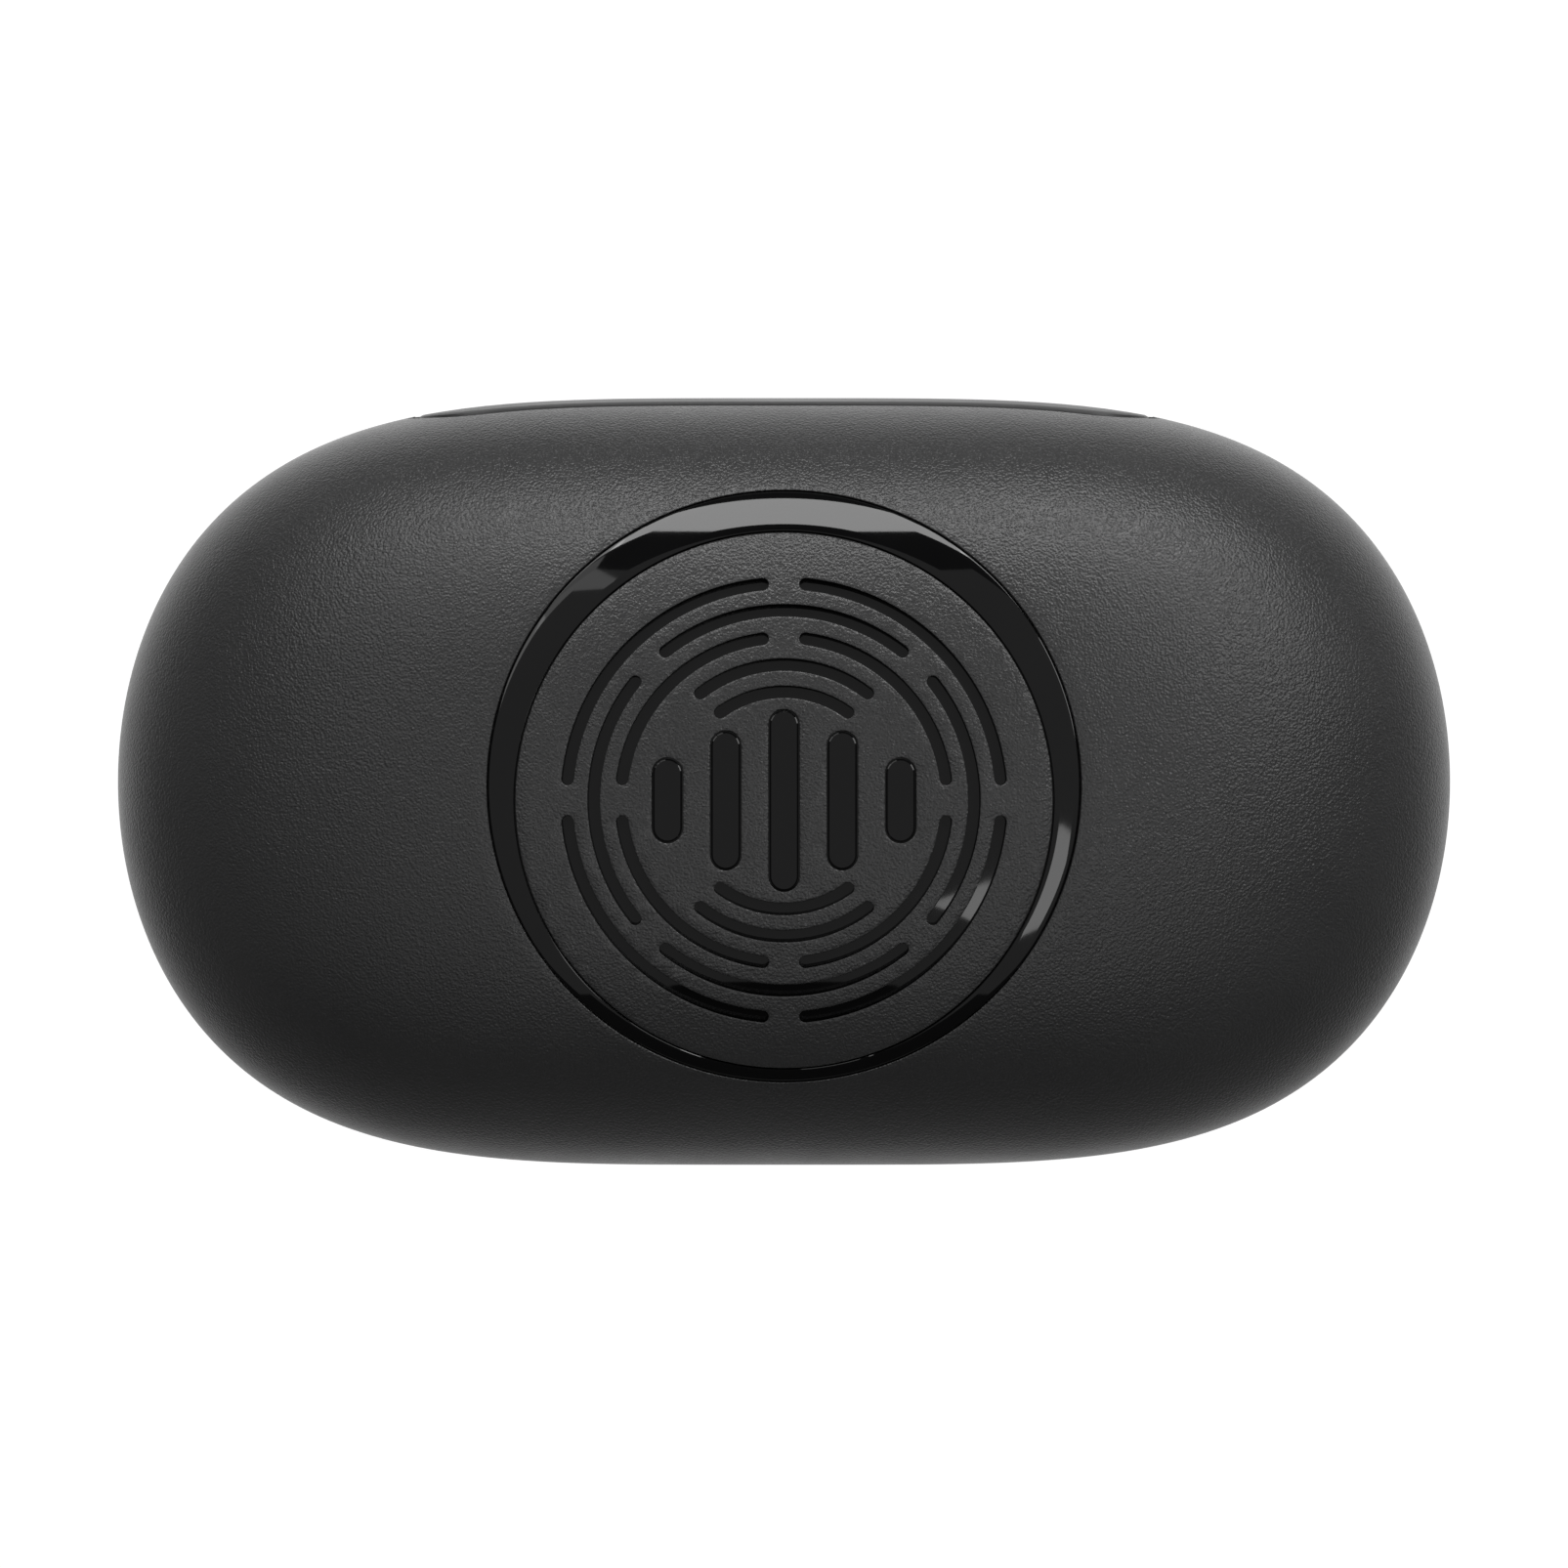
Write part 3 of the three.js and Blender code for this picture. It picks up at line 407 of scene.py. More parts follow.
def plate(outlines, thick, edge, cell, place):
    """A flat plate with holes and round edges, cut into cells and laid on a surface.

    The first outline is the rim and the others are holes. place(u, v, w) gives the points, where w
    runs from 0 on the outer face to minus thick on the inner one.
    """
    curve = bpy.data.curves.new("plate", "CURVE")
    curve.dimensions = "2D"
    curve.fill_mode = "BOTH"
    curve.extrude = thick / 2 - edge
    curve.bevel_depth = edge
    curve.bevel_resolution = 1
    curve.offset = -edge
    for points in outlines:
        spline = curve.splines.new("POLY")
        spline.points.add(len(points) - 1)
        for target, (u, v) in zip(spline.points, points):
            target.co = (u, v, 0, 1)
        spline.use_cyclic_u = True
    holder = placed("plate", curve)
    mesh = finished(holder)
    bpy.data.objects.remove(holder)
    work = bmesh.new()
    work.from_mesh(mesh)
    bmesh.ops.remove_doubles(work, verts=work.verts, dist=1e-4)
    rim = np.array(outlines[0])
    for axis in (0, 1):
        low, high = rim[:, axis].min(), rim[:, axis].max()
        count = int((high - low) / cell)
        for step in range(1, count + 1):
            spot, normal = [0.0, 0.0, 0.0], [0.0, 0.0, 0.0]
            spot[axis] = low + (high - low) * step / (count + 1)
            normal[axis] = 1.0
            everything = work.verts[:] + work.edges[:] + work.faces[:]
            bmesh.ops.bisect_plane(work, geom=everything, plane_co=spot, plane_no=normal, dist=1e-4)
    flat = np.array([v.co for v in work.verts])
    laid = place(flat[:, 0], flat[:, 1], flat[:, 2] - thick / 2)
    for vertex, point in zip(work.verts, laid):
        vertex.co = point
    face_out(work)
    work.to_mesh(mesh)
    work.free()
    return mesh


def joined(meshes):
    """Separate closed meshes as one mesh."""
    work = bmesh.new()
    for mesh in meshes:
        work.from_mesh(mesh)
    result = bpy.data.meshes.new("part")
    work.to_mesh(result)
    work.free()
    return result


def show(name, mesh, body, slot, *replaces, crease=32):
    """Puts a finished mesh on a body in place of its CAD nodes.

    The body is its name or, for a spring, a tuple (first body, second body, start, end) whose parts are not used;
    the spring's mesh is left in place on no body.
    """
    mesh.transform([[MM, 0, 0, 0], [0, MM, 0, 0], [0, 0, MM, 0], [0, 0, 0, 1]])
    mesh.name = name
    mesh.materials.clear()
    mesh.materials.append(LOOKS[slot])
    mesh.shade_smooth()
    mesh.set_sharp_from_angle(angle=math.radians(crease))
    piece = placed(name, mesh)
    if isinstance(body, str):
        piece.modifiers.new("normals", "WEIGHTED_NORMAL").keep_sharp = True
        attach(piece, body)
    else:
        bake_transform(piece)
    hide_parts(*replaces)


# ---------- materials


def node(tree, kind, inputs=None, **settings):
    made = tree.nodes.new(kind)
    for key, value in settings.items():
        setattr(made, key, value)
    for key, value in (inputs or {}).items():
        if isinstance(value, bpy.types.NodeSocket):
            tree.links.new(value, made.inputs[key])
        else:
            made.inputs[key].default_value = value
    return made


def place_of(tree, stretch=(1, 1, 1)):
    """The piece's own coordinates, stretched, so that a grain rides with its piece."""
    coordinates = node(tree, "ShaderNodeTexCoord").outputs["Object"]
    if stretch == (1, 1, 1):
        return coordinates
    return node(tree, "ShaderNodeMapping", {"Vector": coordinates, "Scale": stretch}).outputs["Vector"]


def noise(tree, place, size, detail=3.0, rough=0.5):
    """Soft random values with features about size metres across."""
    inputs = {"Vector": place, "Scale": 1 / size, "Detail": detail, "Roughness": rough}
    return node(tree, "ShaderNodeTexNoise", inputs).outputs["Fac"]


def spread(tree, value, low, high, from_low=0.3, from_high=0.7):
    """A value carried from one range to another."""
    inputs = {
        "Value": value, "From Min": from_low, "From Max": from_high, "To Min": low, "To Max": high,
    }
    return node(tree, "ShaderNodeMapRange", inputs).outputs["Result"]


def tint(tree, value, dark, light):
    """A colour between two, by a value from 0 to 1."""
    ramp = node(tree, "ShaderNodeValToRGB", {"Fac": value})
    for stop, colour, position in zip(ramp.color_ramp.elements, (dark, light), (0.3, 0.7)):
        stop.color = (*colour, 1)
        stop.position = position
    return ramp.outputs["Color"]


def new_material(name, **fixed):
    """A material with its shader's plain values set, its tree and its shader."""
    material = bpy.data.materials.new(name)
    material.use_nodes = True
    shader = material.node_tree.nodes["Principled BSDF"]
    for key, value in fixed.items():
        shader.inputs[key.replace("_", " ")].default_value = value
    return material, material.node_tree, shader


def wire(tree, shader, colour, roughness, height, depth):
    """Joins a colour, a roughness and a bump of some depth to a shader."""
    tree.links.new(colour, shader.inputs["Base Color"])
    tree.links.new(roughness, shader.inputs["Roughness"])
    bump = node(tree, "ShaderNodeBump", {"Height": height, "Distance": depth, "Strength": 1.0})
    tree.links.new(bump.outputs["Normal"], shader.inputs["Normal"])


def leather_height(tree, place, cell=0.000145):
    """A moulded leather-like grain: rounded cells between fine creases, warped so none is regular."""
    drift = node(tree, "ShaderNodeTexNoise", {"Vector": place, "Scale": 0.9 / cell, "Detail": 1.0})
    inputs = {0: drift.outputs["Color"], 1: (cell * 0.7, cell * 0.7, cell * 0.7), 2: place}
    warped = node(tree, "ShaderNodeVectorMath", inputs, operation="MULTIPLY_ADD").outputs[0]
    cells = node(
        tree, "ShaderNodeTexVoronoi",
        {"Vector": warped, "Scale": 1 / cell, "Smoothness": 0.45, "Randomness": 1.0},
        feature="SMOOTH_F1",
    ).outputs["Distance"]
    pebbles = spread(tree, cells, 1.0, 0.0, 0.05, 0.75)
    fine = noise(tree, place, cell * 0.8, detail=1.0)
    inputs = {0: fine, 1: 0.9, 2: pebbles}
    return node(tree, "ShaderNodeMath", inputs, operation="MULTIPLY_ADD").outputs[0]


def grained_shell():
    """Matt black polycarbonate with the leather-like grain."""
    material, tree, shader = new_material("grained_shell", Specular_IOR_Level=0.5, IOR=1.5)
    place = place_of(tree)
    height = leather_height(tree, place)
    patches = noise(tree, place, 0.009, detail=4.0)
    colour = tint(tree, patches, (0.036, 0.036, 0.0365), (0.042, 0.042, 0.0425))
    roughness = spread(tree, noise(tree, place, 0.004, detail=5.0), 0.27, 0.33)
    wire(tree, shader, colour, roughness, height, depth=0.000022)
    return material


def gloss_black():
    """Polished black plastic, with the faintest haze of handling."""
    material, tree, shader = new_material("gloss_black", IOR=1.5)
    place = place_of(tree)
    haze = noise(tree, place, 0.006, detail=6.0, rough=0.6)
    colour = tint(tree, haze, (0.0032, 0.0032, 0.0034), (0.0042, 0.0042, 0.0044))
    roughness = spread(tree, haze, 0.035, 0.06)
    ripple = noise(tree, place, 0.007, detail=1.0)
    wire(tree, shader, colour, roughness, ripple, depth=0.000004)
    return material


def satin_black():
    """The smooth inner mouldings and the hinge cover: a fine spark-eroded texture."""
    material, tree, shader = new_material("satin_black", IOR=1.5)
    place = place_of(tree)
    spark = noise(tree, place, 0.00016, detail=3.0, rough=0.6)
    patches = noise(tree, place, 0.008, detail=3.0)
    colour = tint(tree, patches, (0.03, 0.03, 0.0305), (0.036, 0.036, 0.0365))
    roughness = spread(tree, patches, 0.36, 0.44)
    wire(tree, shader, colour, roughness, spark, depth=0.000008)
    return material


def brushed_metal(name, dark, light, stretch=(1, 30, 30), roughness=(0.22, 0.34)):
    """Metal with a fine directional brushing."""
    material, tree, shader = new_material(name, Metallic=1.0)
    place = place_of(tree, stretch)
    lines = noise(tree, place, 0.003, detail=4.0)
    wear = noise(tree, place_of(tree), 0.0015, detail=4.0)
    colour = tint(tree, wear, dark, light)
    wire(tree, shader, colour, spread(tree, lines, *roughness), lines, depth=0.000003)
    return material


def moulded(name, dark, light, size=0.0008, roughness=(0.4, 0.55), depth=0.000006):
    """A plain moulded, rubbery or resin surface with a little unevenness."""
    material, tree, shader = new_material(name)
    place = place_of(tree)
    grain = noise(tree, place, size, detail=4.0)
    colour = tint(tree, grain, dark, light)
    wire(tree, shader, colour, spread(tree, grain, *roughness), grain, depth)
    return material


def circuit_board():
    """Green solder mask over copper tracks and fills."""
    material, tree, shader = new_material("board_green", Coat_Weight=0.4)
    place = place_of(tree, (1, 1, 0))
    tracks = node(
        tree, "ShaderNodeTexBrick",
        {"Vector": place, "Scale": 420.0, "Mortar Size": 0.06, "Brick Width": 1.9, "Row Height": 0.55},
        offset=0.37,
    ).outputs["Fac"]
    mottle = noise(tree, place, 0.002)
    inputs = {0: mottle, 1: 0.25, 2: tracks}
    uneven = node(tree, "ShaderNodeMath", inputs, operation="MULTIPLY_ADD").outputs[0]
    colour = tint(tree, uneven, (0.006, 0.05, 0.022), (0.016, 0.115, 0.05))
    wire(tree, shader, colour, spread(tree, mottle, 0.3, 0.42), tracks, depth=0.00002)
    return material


def milky_pipe():
    """The light window: clear plastic with a milky filler."""
    material, tree, shader = new_material("light_pipe", IOR=1.58, Transmission_Weight=0.35)
    place = place_of(tree)
    cloud = noise(tree, place, 0.002, detail=1.0)
    colour = tint(tree, cloud, (0.55, 0.55, 0.54), (0.68, 0.68, 0.66))
    wire(tree, shader, colour, spread(tree, cloud, 0.2, 0.28), cloud, depth=0.000001)
    return material


LOOKS = {
    "grained_shell": grained_shell(),
    "gloss_black": gloss_black(),
    "satin_black": satin_black(),
    "steel": brushed_metal("steel", (0.42, 0.43, 0.44), (0.56, 0.57, 0.58)),
    "black_steel": brushed_metal(
        "black_steel", (0.03, 0.03, 0.031), (0.045, 0.045, 0.047), (20, 1, 20), (0.34, 0.46)
    ),
    "nickel": brushed_metal("nickel", (0.52, 0.51, 0.48), (0.66, 0.65, 0.61), (20, 20, 1)),
    "gold": brushed_metal("gold", (0.74, 0.52, 0.2), (0.86, 0.64, 0.28), (30, 30, 1), (0.16, 0.26)),
    "chip_black": moulded("chip_black", (0.011, 0.011, 0.012), (0.019, 0.019, 0.02), 0.0002),
    "board_green": circuit_board(),
    "cell_foil": brushed_metal(
        "cell_foil", (0.48, 0.49, 0.51), (0.6, 0.61, 0.63), (1, 12, 12), (0.3, 0.42)
    ),
    "foam_black": moulded(
        "foam_black", (0.012, 0.012, 0.012), (0.03, 0.03, 0.03), 0.0003, (0.85, 0.95), 0.00006
    ),
    "wire_red": moulded("wire_red", (0.3, 0.008, 0.008), (0.42, 0.014, 0.014)),
    "wire_black": moulded("wire_black", (0.008, 0.008, 0.008), (0.014, 0.014, 0.014)),
    "connector_white": moulded("connector_white", (0.6, 0.58, 0.5), (0.74, 0.72, 0.64)),
    "light_pipe": milky_pipe(),
}

# ---------- shells


def level_loop(z, inset, crown=True):
    """The pebble's outline at a height, drawn in by inset."""
    return skin(ANGLES, swing_at(z, inset, crown), inset, crown)


def circle_swing(centre_y, radius):
    """For each column, how far round the section the plan circle lies on the crown."""
    x, y = outline(ANGLES)
    dx, dy = x * HALF_LENGTH, y * HALF_DEPTH
    square = dx * dx + dy * dy
    half_b = dy * centre_y
    girth = (half_b + np.sqrt(half_b * half_b - square * (centre_y ** 2 - radius ** 2))) / square
    return np.arccos(np.clip(girth, 0, 1) ** (CROWN_POWER / 2))


def crown_circle(centre_y, radius, depth):
    """A plan circle laid on the crown's dome, sunk by depth."""
    turns = full_turn(256)
    x = radius * np.cos(turns)
    y = centre_y + radius * np.sin(turns)
    return xyz(x, y, crown_height(x, y) - depth)


def notch_tool():
    """Cuts the notch in the lid's back edge that clears the hinge cover."""
    middle = (NOTCH_LOW + NOTCH_HIGH) / 2
    flat = rounded_rect(0, middle, NOTCH_HALF, NOTCH_HIGH - middle, COVER_CORNER + 1, steps=14)
    return prism(flat, *WALL_CUT, axis="y")


def make_lid_shell():
    """The lid, from the emblem's pocket over the rim to the inside, with bosses and the notch."""
    radius = RING["radius"] + EMBLEM_FIT
    bottom = circle_swing(RING["y"], radius)
    pocket = skin(ANGLES, bottom) - (0, 0, EMBLEM_DEPTH)
    centre = np.array([0, RING["y"], crown_height(0.0, RING["y"]) - EMBLEM_DEPTH])
    loops = []
    for share in (0.3, 0.6, 0.85):
        inner = centre + (pocket - centre) * share
        inner[:, 2] = crown_height(inner[:, 0], inner[:, 1]) - EMBLEM_DEPTH
        loops.append(inner)
    loops.append(pocket)
    for across, down in FILLET:
        swing = circle_swing(RING["y"], radius + FINE_EDGE * across)
        loops.append(skin(ANGLES, swing) - (0, 0, FINE_EDGE * down))
    first = circle_swing(RING["y"], radius + FINE_EDGE)
    last = swing_at(LID_Z + EDGE)
    rows = 44
    for row in range(1, rows + 1):
        loops.append(skin(ANGLES, first + (last - first) * row / rows))
    for across, down in FILLET[1:]:
        loops.append(level_loop(LID_Z + EDGE * down, EDGE * across))
    for across, down in FILLET:
        loops.append(level_loop(LID_Z + FINE_EDGE * across, RIM_WALL - FINE_EDGE * down))
    step = LINER_TOP + 0.1
    loops.append(level_loop(step, RIM_WALL))
    start = swing_at(step, WALL)
    rows = 15
    for row in range(rows):
        loops.append(skin(ANGLES, start + (QUARTER - start) * (row / rows) * np.ones(COLUMNS), WALL))
    mesh = loops_mesh(loops, start=centre, end=(0, 0, HEIGHT - WALL))
    x, y = BRACKET["screw"]
    foot = BRACKET["z"] + BRACKET["leaf"] + 0.05
    roof = crown_height(x, y) - BOSS["under_crown"]
    bosses = both(cylinder(BOSS["radius"], (x, y, foot), (x, y, roof), edge=0.1))
    bores = both(cylinder(BOSS["bore"], (x, y, foot - 1), (x, y, foot + 3)))
    mesh = combine(mesh, bosses, "UNION")
    mesh = combine(mesh, [notch_tool(), *bores], "DIFFERENCE")
    show("lid_shell_skin", mesh, "lid", "grained_shell", "lid_shell")


def scooped(loop):
    """Presses the thumb scoop into a loop of the front wall."""
    back = SCOOP["depth"] - HALF_DEPTH - SCOOP["radius"]
    across = loop[:, 0] / (SCOOP["radius"] * SCOOP["wide"])
    up = (loop[:, 2] - SCOOP["z"]) / (SCOOP["radius"] * SCOOP["tall"])
    left = 1 - across ** 2 - up ** 2
    ball = back + SCOOP["radius"] * np.sqrt(np.clip(left, 0, 1))
    near = (left > 0.5) & (loop[:, 1] < 0)
    pressed = loop.copy()
    pressed[near, 1] = smooth_max(loop[near, 1], ball[near], SCOOP["soft"])
    return pressed


def footed(loop):
    """Rounds the belly off onto the flat foot."""
    rest = (math.sqrt(1 + FOOT_SOFT * FOOT_SOFT) - 1) / 2
    flat = loop.copy()
    flat[:, 2] = smooth_max(loop[:, 2], 0.0, FOOT_SOFT) - rest
    return flat


def make_base_shell():
    """The base, from the foot over the rim to the inside, with its recesses."""
    loops = []
    rows = 64
    for row in range(1, rows + 1):
        swing = QUARTER * (1 - row / rows)
        loops.append(scooped(footed(skin(ANGLES, swing * np.ones(COLUMNS), 0.0, crown=False))))
    for z in np.linspace(BELT_Z, RIM_Z - EDGE, 7)[1:]:
        loops.append(scooped(level_loop(z, 0.0)))
    for across, down in FILLET[1:]:
        loops.append(scooped(level_loop(RIM_Z - EDGE * down, EDGE * across)))
    for across, down in FILLET:
        loops.append(level_loop(RIM_Z - FINE_EDGE * across, RIM_WALL - FINE_EDGE * down))
    loops.append(level_loop(BELT_Z, RIM_WALL))
    loops.append(level_loop(LEDGE_Z, RIM_WALL, crown=False))
    first = swing_at(LEDGE_Z, WALL, crown=False)
    last = swing_at(FLOOR, WALL, crown=False)
    rows = 18
    for row in range(rows + 1):
        swing = (first + (last - first) * row / rows) * np.ones(COLUMNS)
        loops.append(skin(ANGLES, swing, WALL, crown=False))
    mesh = loops_mesh(loops, start=(0, 0, 0), end=(0, 0, FLOOR))
    half_x, half_z, corner = (size + COVER_FIT for size in (COVER_HALF, COVER_HALF_Z, COVER_CORNER))
    recess = rounded_rect(0, COVER_MIDDLE, half_x, half_z, corner, steps=14)
    seat, fit = PORT["seat"], LIGHT["fit"]
    port = capsule_xz(PORT["half_x"] + seat, PORT["half_z"] + seat, PORT_Z)
    window = capsule_xz(LIGHT["half"] + fit, LIGHT["radius"] + fit, LIGHT["z"])
    tools = [
        prism(recess, *WALL_CUT, axis="y"),
        prism(port, *WALL_CUT, axis="y"),
        prism(window, -WALL_CUT[1], -12, axis="y"),
    ]
    mesh = combine(mesh, tools, "DIFFERENCE")
    show("base_shell_skin", mesh, "base", "grained_shell", "base_shell")


def capsule_xz(half_x, half_z, z):
    """A level slot with round ends in x and z, centred on x 0."""
    reach_x = half_x - half_z
    return capsule((-reach_x, z), (reach_x, z), half_z, steps=16)


# ---------- emblem


def spoke(angle):
    """The unit vector in a direction of the plan."""
    return np.array([math.cos(angle), math.sin(angle)])


def arc_slot(radius, start, end):
    """An arc slot with round ends, centred on the disc."""
    half = SLOT_WIDTH / 2
    steps = max(8, int((end - start) * radius / 0.5))
    turns = np.linspace(start, end, steps)
    points = [(radius + half) * spoke(t) for t in turns]
    points += [radius * spoke(end) + half * spoke(end + i / 8 * math.pi) for i in range(1, 8)]
    points += [(radius - half) * spoke(t) for t in turns[::-1]]
    points += [
        radius * spoke(start) + half * spoke(start + (math.pi + i / 8 * math.pi)) for i in range(1, 8)
    ]
    return [(x, y + DISC["y"]) for x, y in points]


def slot_outlines():
    """Three broken rings round the disc, and two short arcs above and below the bars."""
    outlines = []
    outer = 8 * SLOT_PITCH
    breaks = 4
    for ring in range(3):
        radius = outer - ring * SLOT_PITCH
        gap = 1.1 / radius
        for i in range(breaks):
            start = (i + (ring % 2) / 2) * 2 * math.pi / breaks
            outlines.append(arc_slot(radius, start + gap, start + 2 * math.pi / breaks - gap))
    for ring, degrees in ((3, 38), (4, 36)):
        swing = math.radians(degrees)
        for middle in (QUARTER, -QUARTER):
            outlines.append(arc_slot(outer - ring * SLOT_PITCH, middle - swing, middle + swing))
    return outlines


def bar_outlines(inset):
    """The five upright bars, drawn in by inset."""
    outlines = []
    for i, half in enumerate(BAR_HALVES):
        x = (i - (len(BAR_HALVES) - 1) / 2) * BAR_PITCH
        radius = BAR_WIDTH / 2 - inset
        up = half - BAR_WIDTH / 2
        outlines.append(capsule((x, DISC["y"] - up), (x, DISC["y"] + up), radius, steps=16))
    return outlines


def on_dome(depth):
    """Lays a plate on the crown's dome, its outer face sunk by depth."""
    return lambda u, v, w: xyz(u, v, crown_height(u, v) - depth + w)


def make_emblem_disc():
    radius = DISC["radius"] - EMBLEM_FIT
    rim = [(radius * math.cos(t), DISC["y"] + radius * math.sin(t)) for t in full_turn(180)]
    outlines = [rim, *slot_outlines(), *bar_outlines(0.0)]
    mesh = plate(outlines, DISC_DEPTH, edge=0.07, cell=0.9, place=on_dome(DISC_SINK))
    show("emblem_disc_skin", mesh, "lid", "grained_shell", "emblem_disc")


def make_emblem_insert():
    """The gloss moulding: the ring, the floor under the disc, and the bars."""
    outer, inner = RING["radius"], DISC["radius"]
    top, edge = INSERT_SINK, 0.08
    loops = [crown_circle(RING["y"], outer * share, INSERT_DEPTH) for share in (0.25, 0.5, 0.75, 1.0)]
    for across, down in FILLET:
        loops.append(crown_circle(RING["y"], outer - edge * across, top + edge * down))
    first = crown_circle(RING["y"], outer - edge, top)
    last = crown_circle(DISC["y"], inner + edge, top)
    for share in (0.2, 0.4, 0.6, 0.8):
        between = first + (last - first) * share
        between[:, 2] = crown_height(between[:, 0], between[:, 1]) - top
        loops.append(between)
    for across, down in reversed(FILLET):
        loops.append(crown_circle(DISC["y"], inner + edge * across, top + edge * down))
    for share in (1.0, 0.8, 0.6, 0.4, 0.2):
        loops.append(crown_circle(DISC["y"], inner * share, INSERT_FLOOR))
    start = (0, RING["y"], crown_height(0.0, RING["y"]) - INSERT_DEPTH)
    end = (0, DISC["y"], crown_height(0.0, DISC["y"]) - INSERT_FLOOR)
    mesh = loops_mesh(loops, start=start, end=end)
    thick = INSERT_FLOOR + 0.1 - BAR_SINK
    bars = [
        plate([bar], thick, edge=0.08, cell=0.9, place=on_dome(BAR_SINK))
        for bar in bar_outlines(EMBLEM_FIT)
    ]
    mesh = combine(mesh, bars, "UNION")
    show("emblem_insert_skin", mesh, "lid", "gloss_black", "emblem_insert", crease=20)


# ---------- hinge


def on_back(u, v, w):
    """Lays a plate on the back wall."""
    return xyz(u, back_depth(u, v) + w, v)


def along_hinge(radius, start, end, sides=48, edge=0.0):
    return cylinder(radius, (start, *HINGE[1:]), (end, *HINGE[1:]), sides, edge)


def make_hinge_cover():
    """The strip in the back wall, its knuckles, and room for arms, spring and pin."""
    rim = rounded_rect(0, COVER_MIDDLE, COVER_HALF, COVER_HALF_Z, COVER_CORNER, steps=16)
    mesh = plate([rim], COVER_THICK, edge=0.22, cell=1.2, place=on_back)
    lobes = []
    for start, end in KNUCKLES["spans"]:
        stem = block(start, end, KNUCKLES["front"], KNUCKLES["back"], COVER_LOW + 0.6, HINGE[2])
        lobe = combine(stem, [along_hinge(KNUCKLES["radius"], start, end)], "UNION")
        lobes += both(combine(lobe, [pebble_slice(0.5, 12, 26)], "INTERSECT"))
    mesh = combine(mesh, lobes, "UNION")
    start, end = ARM["from"] - 0.2, ARM["to"] + 0.2
    cuts = both(block(start, end, 10, 18.75, HINGE[2], 30))
    cuts += both(along_hinge(SWEEP_RADIUS, start, end))
    cuts.append(along_hinge(SWEEP_RADIUS, -SPRING["room"], SPRING["room"]))
    cuts.append(along_hinge(PIN_BORE, -PIN_BORE_HALF, PIN_BORE_HALF))
    mesh = combine(mesh, cuts, "DIFFERENCE")
    show("hinge_cover_skin", mesh, "base", "satin_black", "hinge_cover")


def make_hinge_pin():
    low, high = box_mm("hinge_pin")
    mesh = along_hinge(PIN_RADIUS, low[0], high[0], sides=40, edge=0.12)
    show("hinge_pin_rod", mesh, "base", "steel", "hinge_pin")


def tube(path, radius, sides=10):
    """A round wire along a path, with rounded ends."""
    path = np.array(path, float)
    ahead = np.gradient(path, axis=0)
    ahead /= np.linalg.norm(ahead, axis=1, keepdims=True)
    turns = full_turn(sides)
    side = np.cross(ahead[0], (1.0, 0.0, 0.0) if abs(ahead[0][0]) < 0.9 else (0.0, 1.0, 0.0))
    loops = []
    for i, (spot, forward) in enumerate(zip(path, ahead)):
        side = side - forward * np.dot(side, forward)
        side /= np.linalg.norm(side)
        other = np.cross(forward, side)
        size = radius * (0.6 if i in (0, len(path) - 1) else 1.0)
        loops.append(spot + size * (np.outer(np.cos(turns), side) + np.outer(np.sin(turns), other)))
    return loops_mesh(loops)


def make_hinge_spring():
    """The torsion spring: turns on the pin, a leg down into the base and a leg up into the lid."""
    radius, turns, pitch = SPRING["radius"], SPRING["turns"], SPRING["pitch"]
    half = turns * pitch / 2
    angles = np.linspace(0, turns * 2 * math.pi, turns * 36)
    along = angles / (2 * math.pi) * pitch - half
    coil = xyz(along, -radius * np.cos(angles), -radius * np.sin(angles))
    lower = xyz(-half, -radius, np.linspace(-3.6, -0.3, 12))
    upper = xyz(half, np.linspace(-radius - 0.25, -radius - 2.2, 10), np.linspace(0.5, 2.6, 10))
    path = np.vstack([lower, coil, upper]) + HINGE
    centre = Vector(HINGE * MM)
    swing = ("base", "lid", centre - Vector((half * MM, 0, 0)), centre + Vector((half * MM, 0, 0)))
    coil = tube(path, SPRING["wire"])
    show("hinge_spring_coil", coil, swing, "steel", "hinge_spring", crease=60)


# ---------- trays


def pebble_slice(inset, low, high, steps=30):
    """The pebble, drawn in by inset, between two heights."""
    heights = np.linspace(low, high, steps)
    return loops_mesh([level_loop(z, inset, crown=z >= BELT_Z)[::3] for z in heights])


def tray_blank(low, high, inset):
    """A tray's plate: the pebble's slice between two heights."""
    return loops_mesh([level_loop(low, inset)[::3], level_loop(high, inset)[::3]])


def bowl(z, depth, grow, sides=96, rows=24):
    """A bowl's half, hanging from z by depth. A negative depth rises instead."""
    way = math.copysign(1, depth)
    power = BOWL["power"]
    turns = full_turn(sides)
    full = abs(depth) + grow
    loops = []
    for share, level in [(1.0, z + way * 0.5)] + [
        (math.cos(a) ** (2 / power), z - way * math.sin(a) ** (2 / power) * full)
        for a in np.linspace(0, QUARTER, rows)[:-1]
    ]:
        x = BOWL["x"] + (BOWL["rx"] + grow) * share * np.cos(turns)
        y = BOWL["y"] + (BOWL["ry"] + grow) * share * np.sin(turns)
        loops.append(xyz(x, y, level))
    return loops_mesh(loops, end=(BOWL["x"], BOWL["y"], z - way * full))


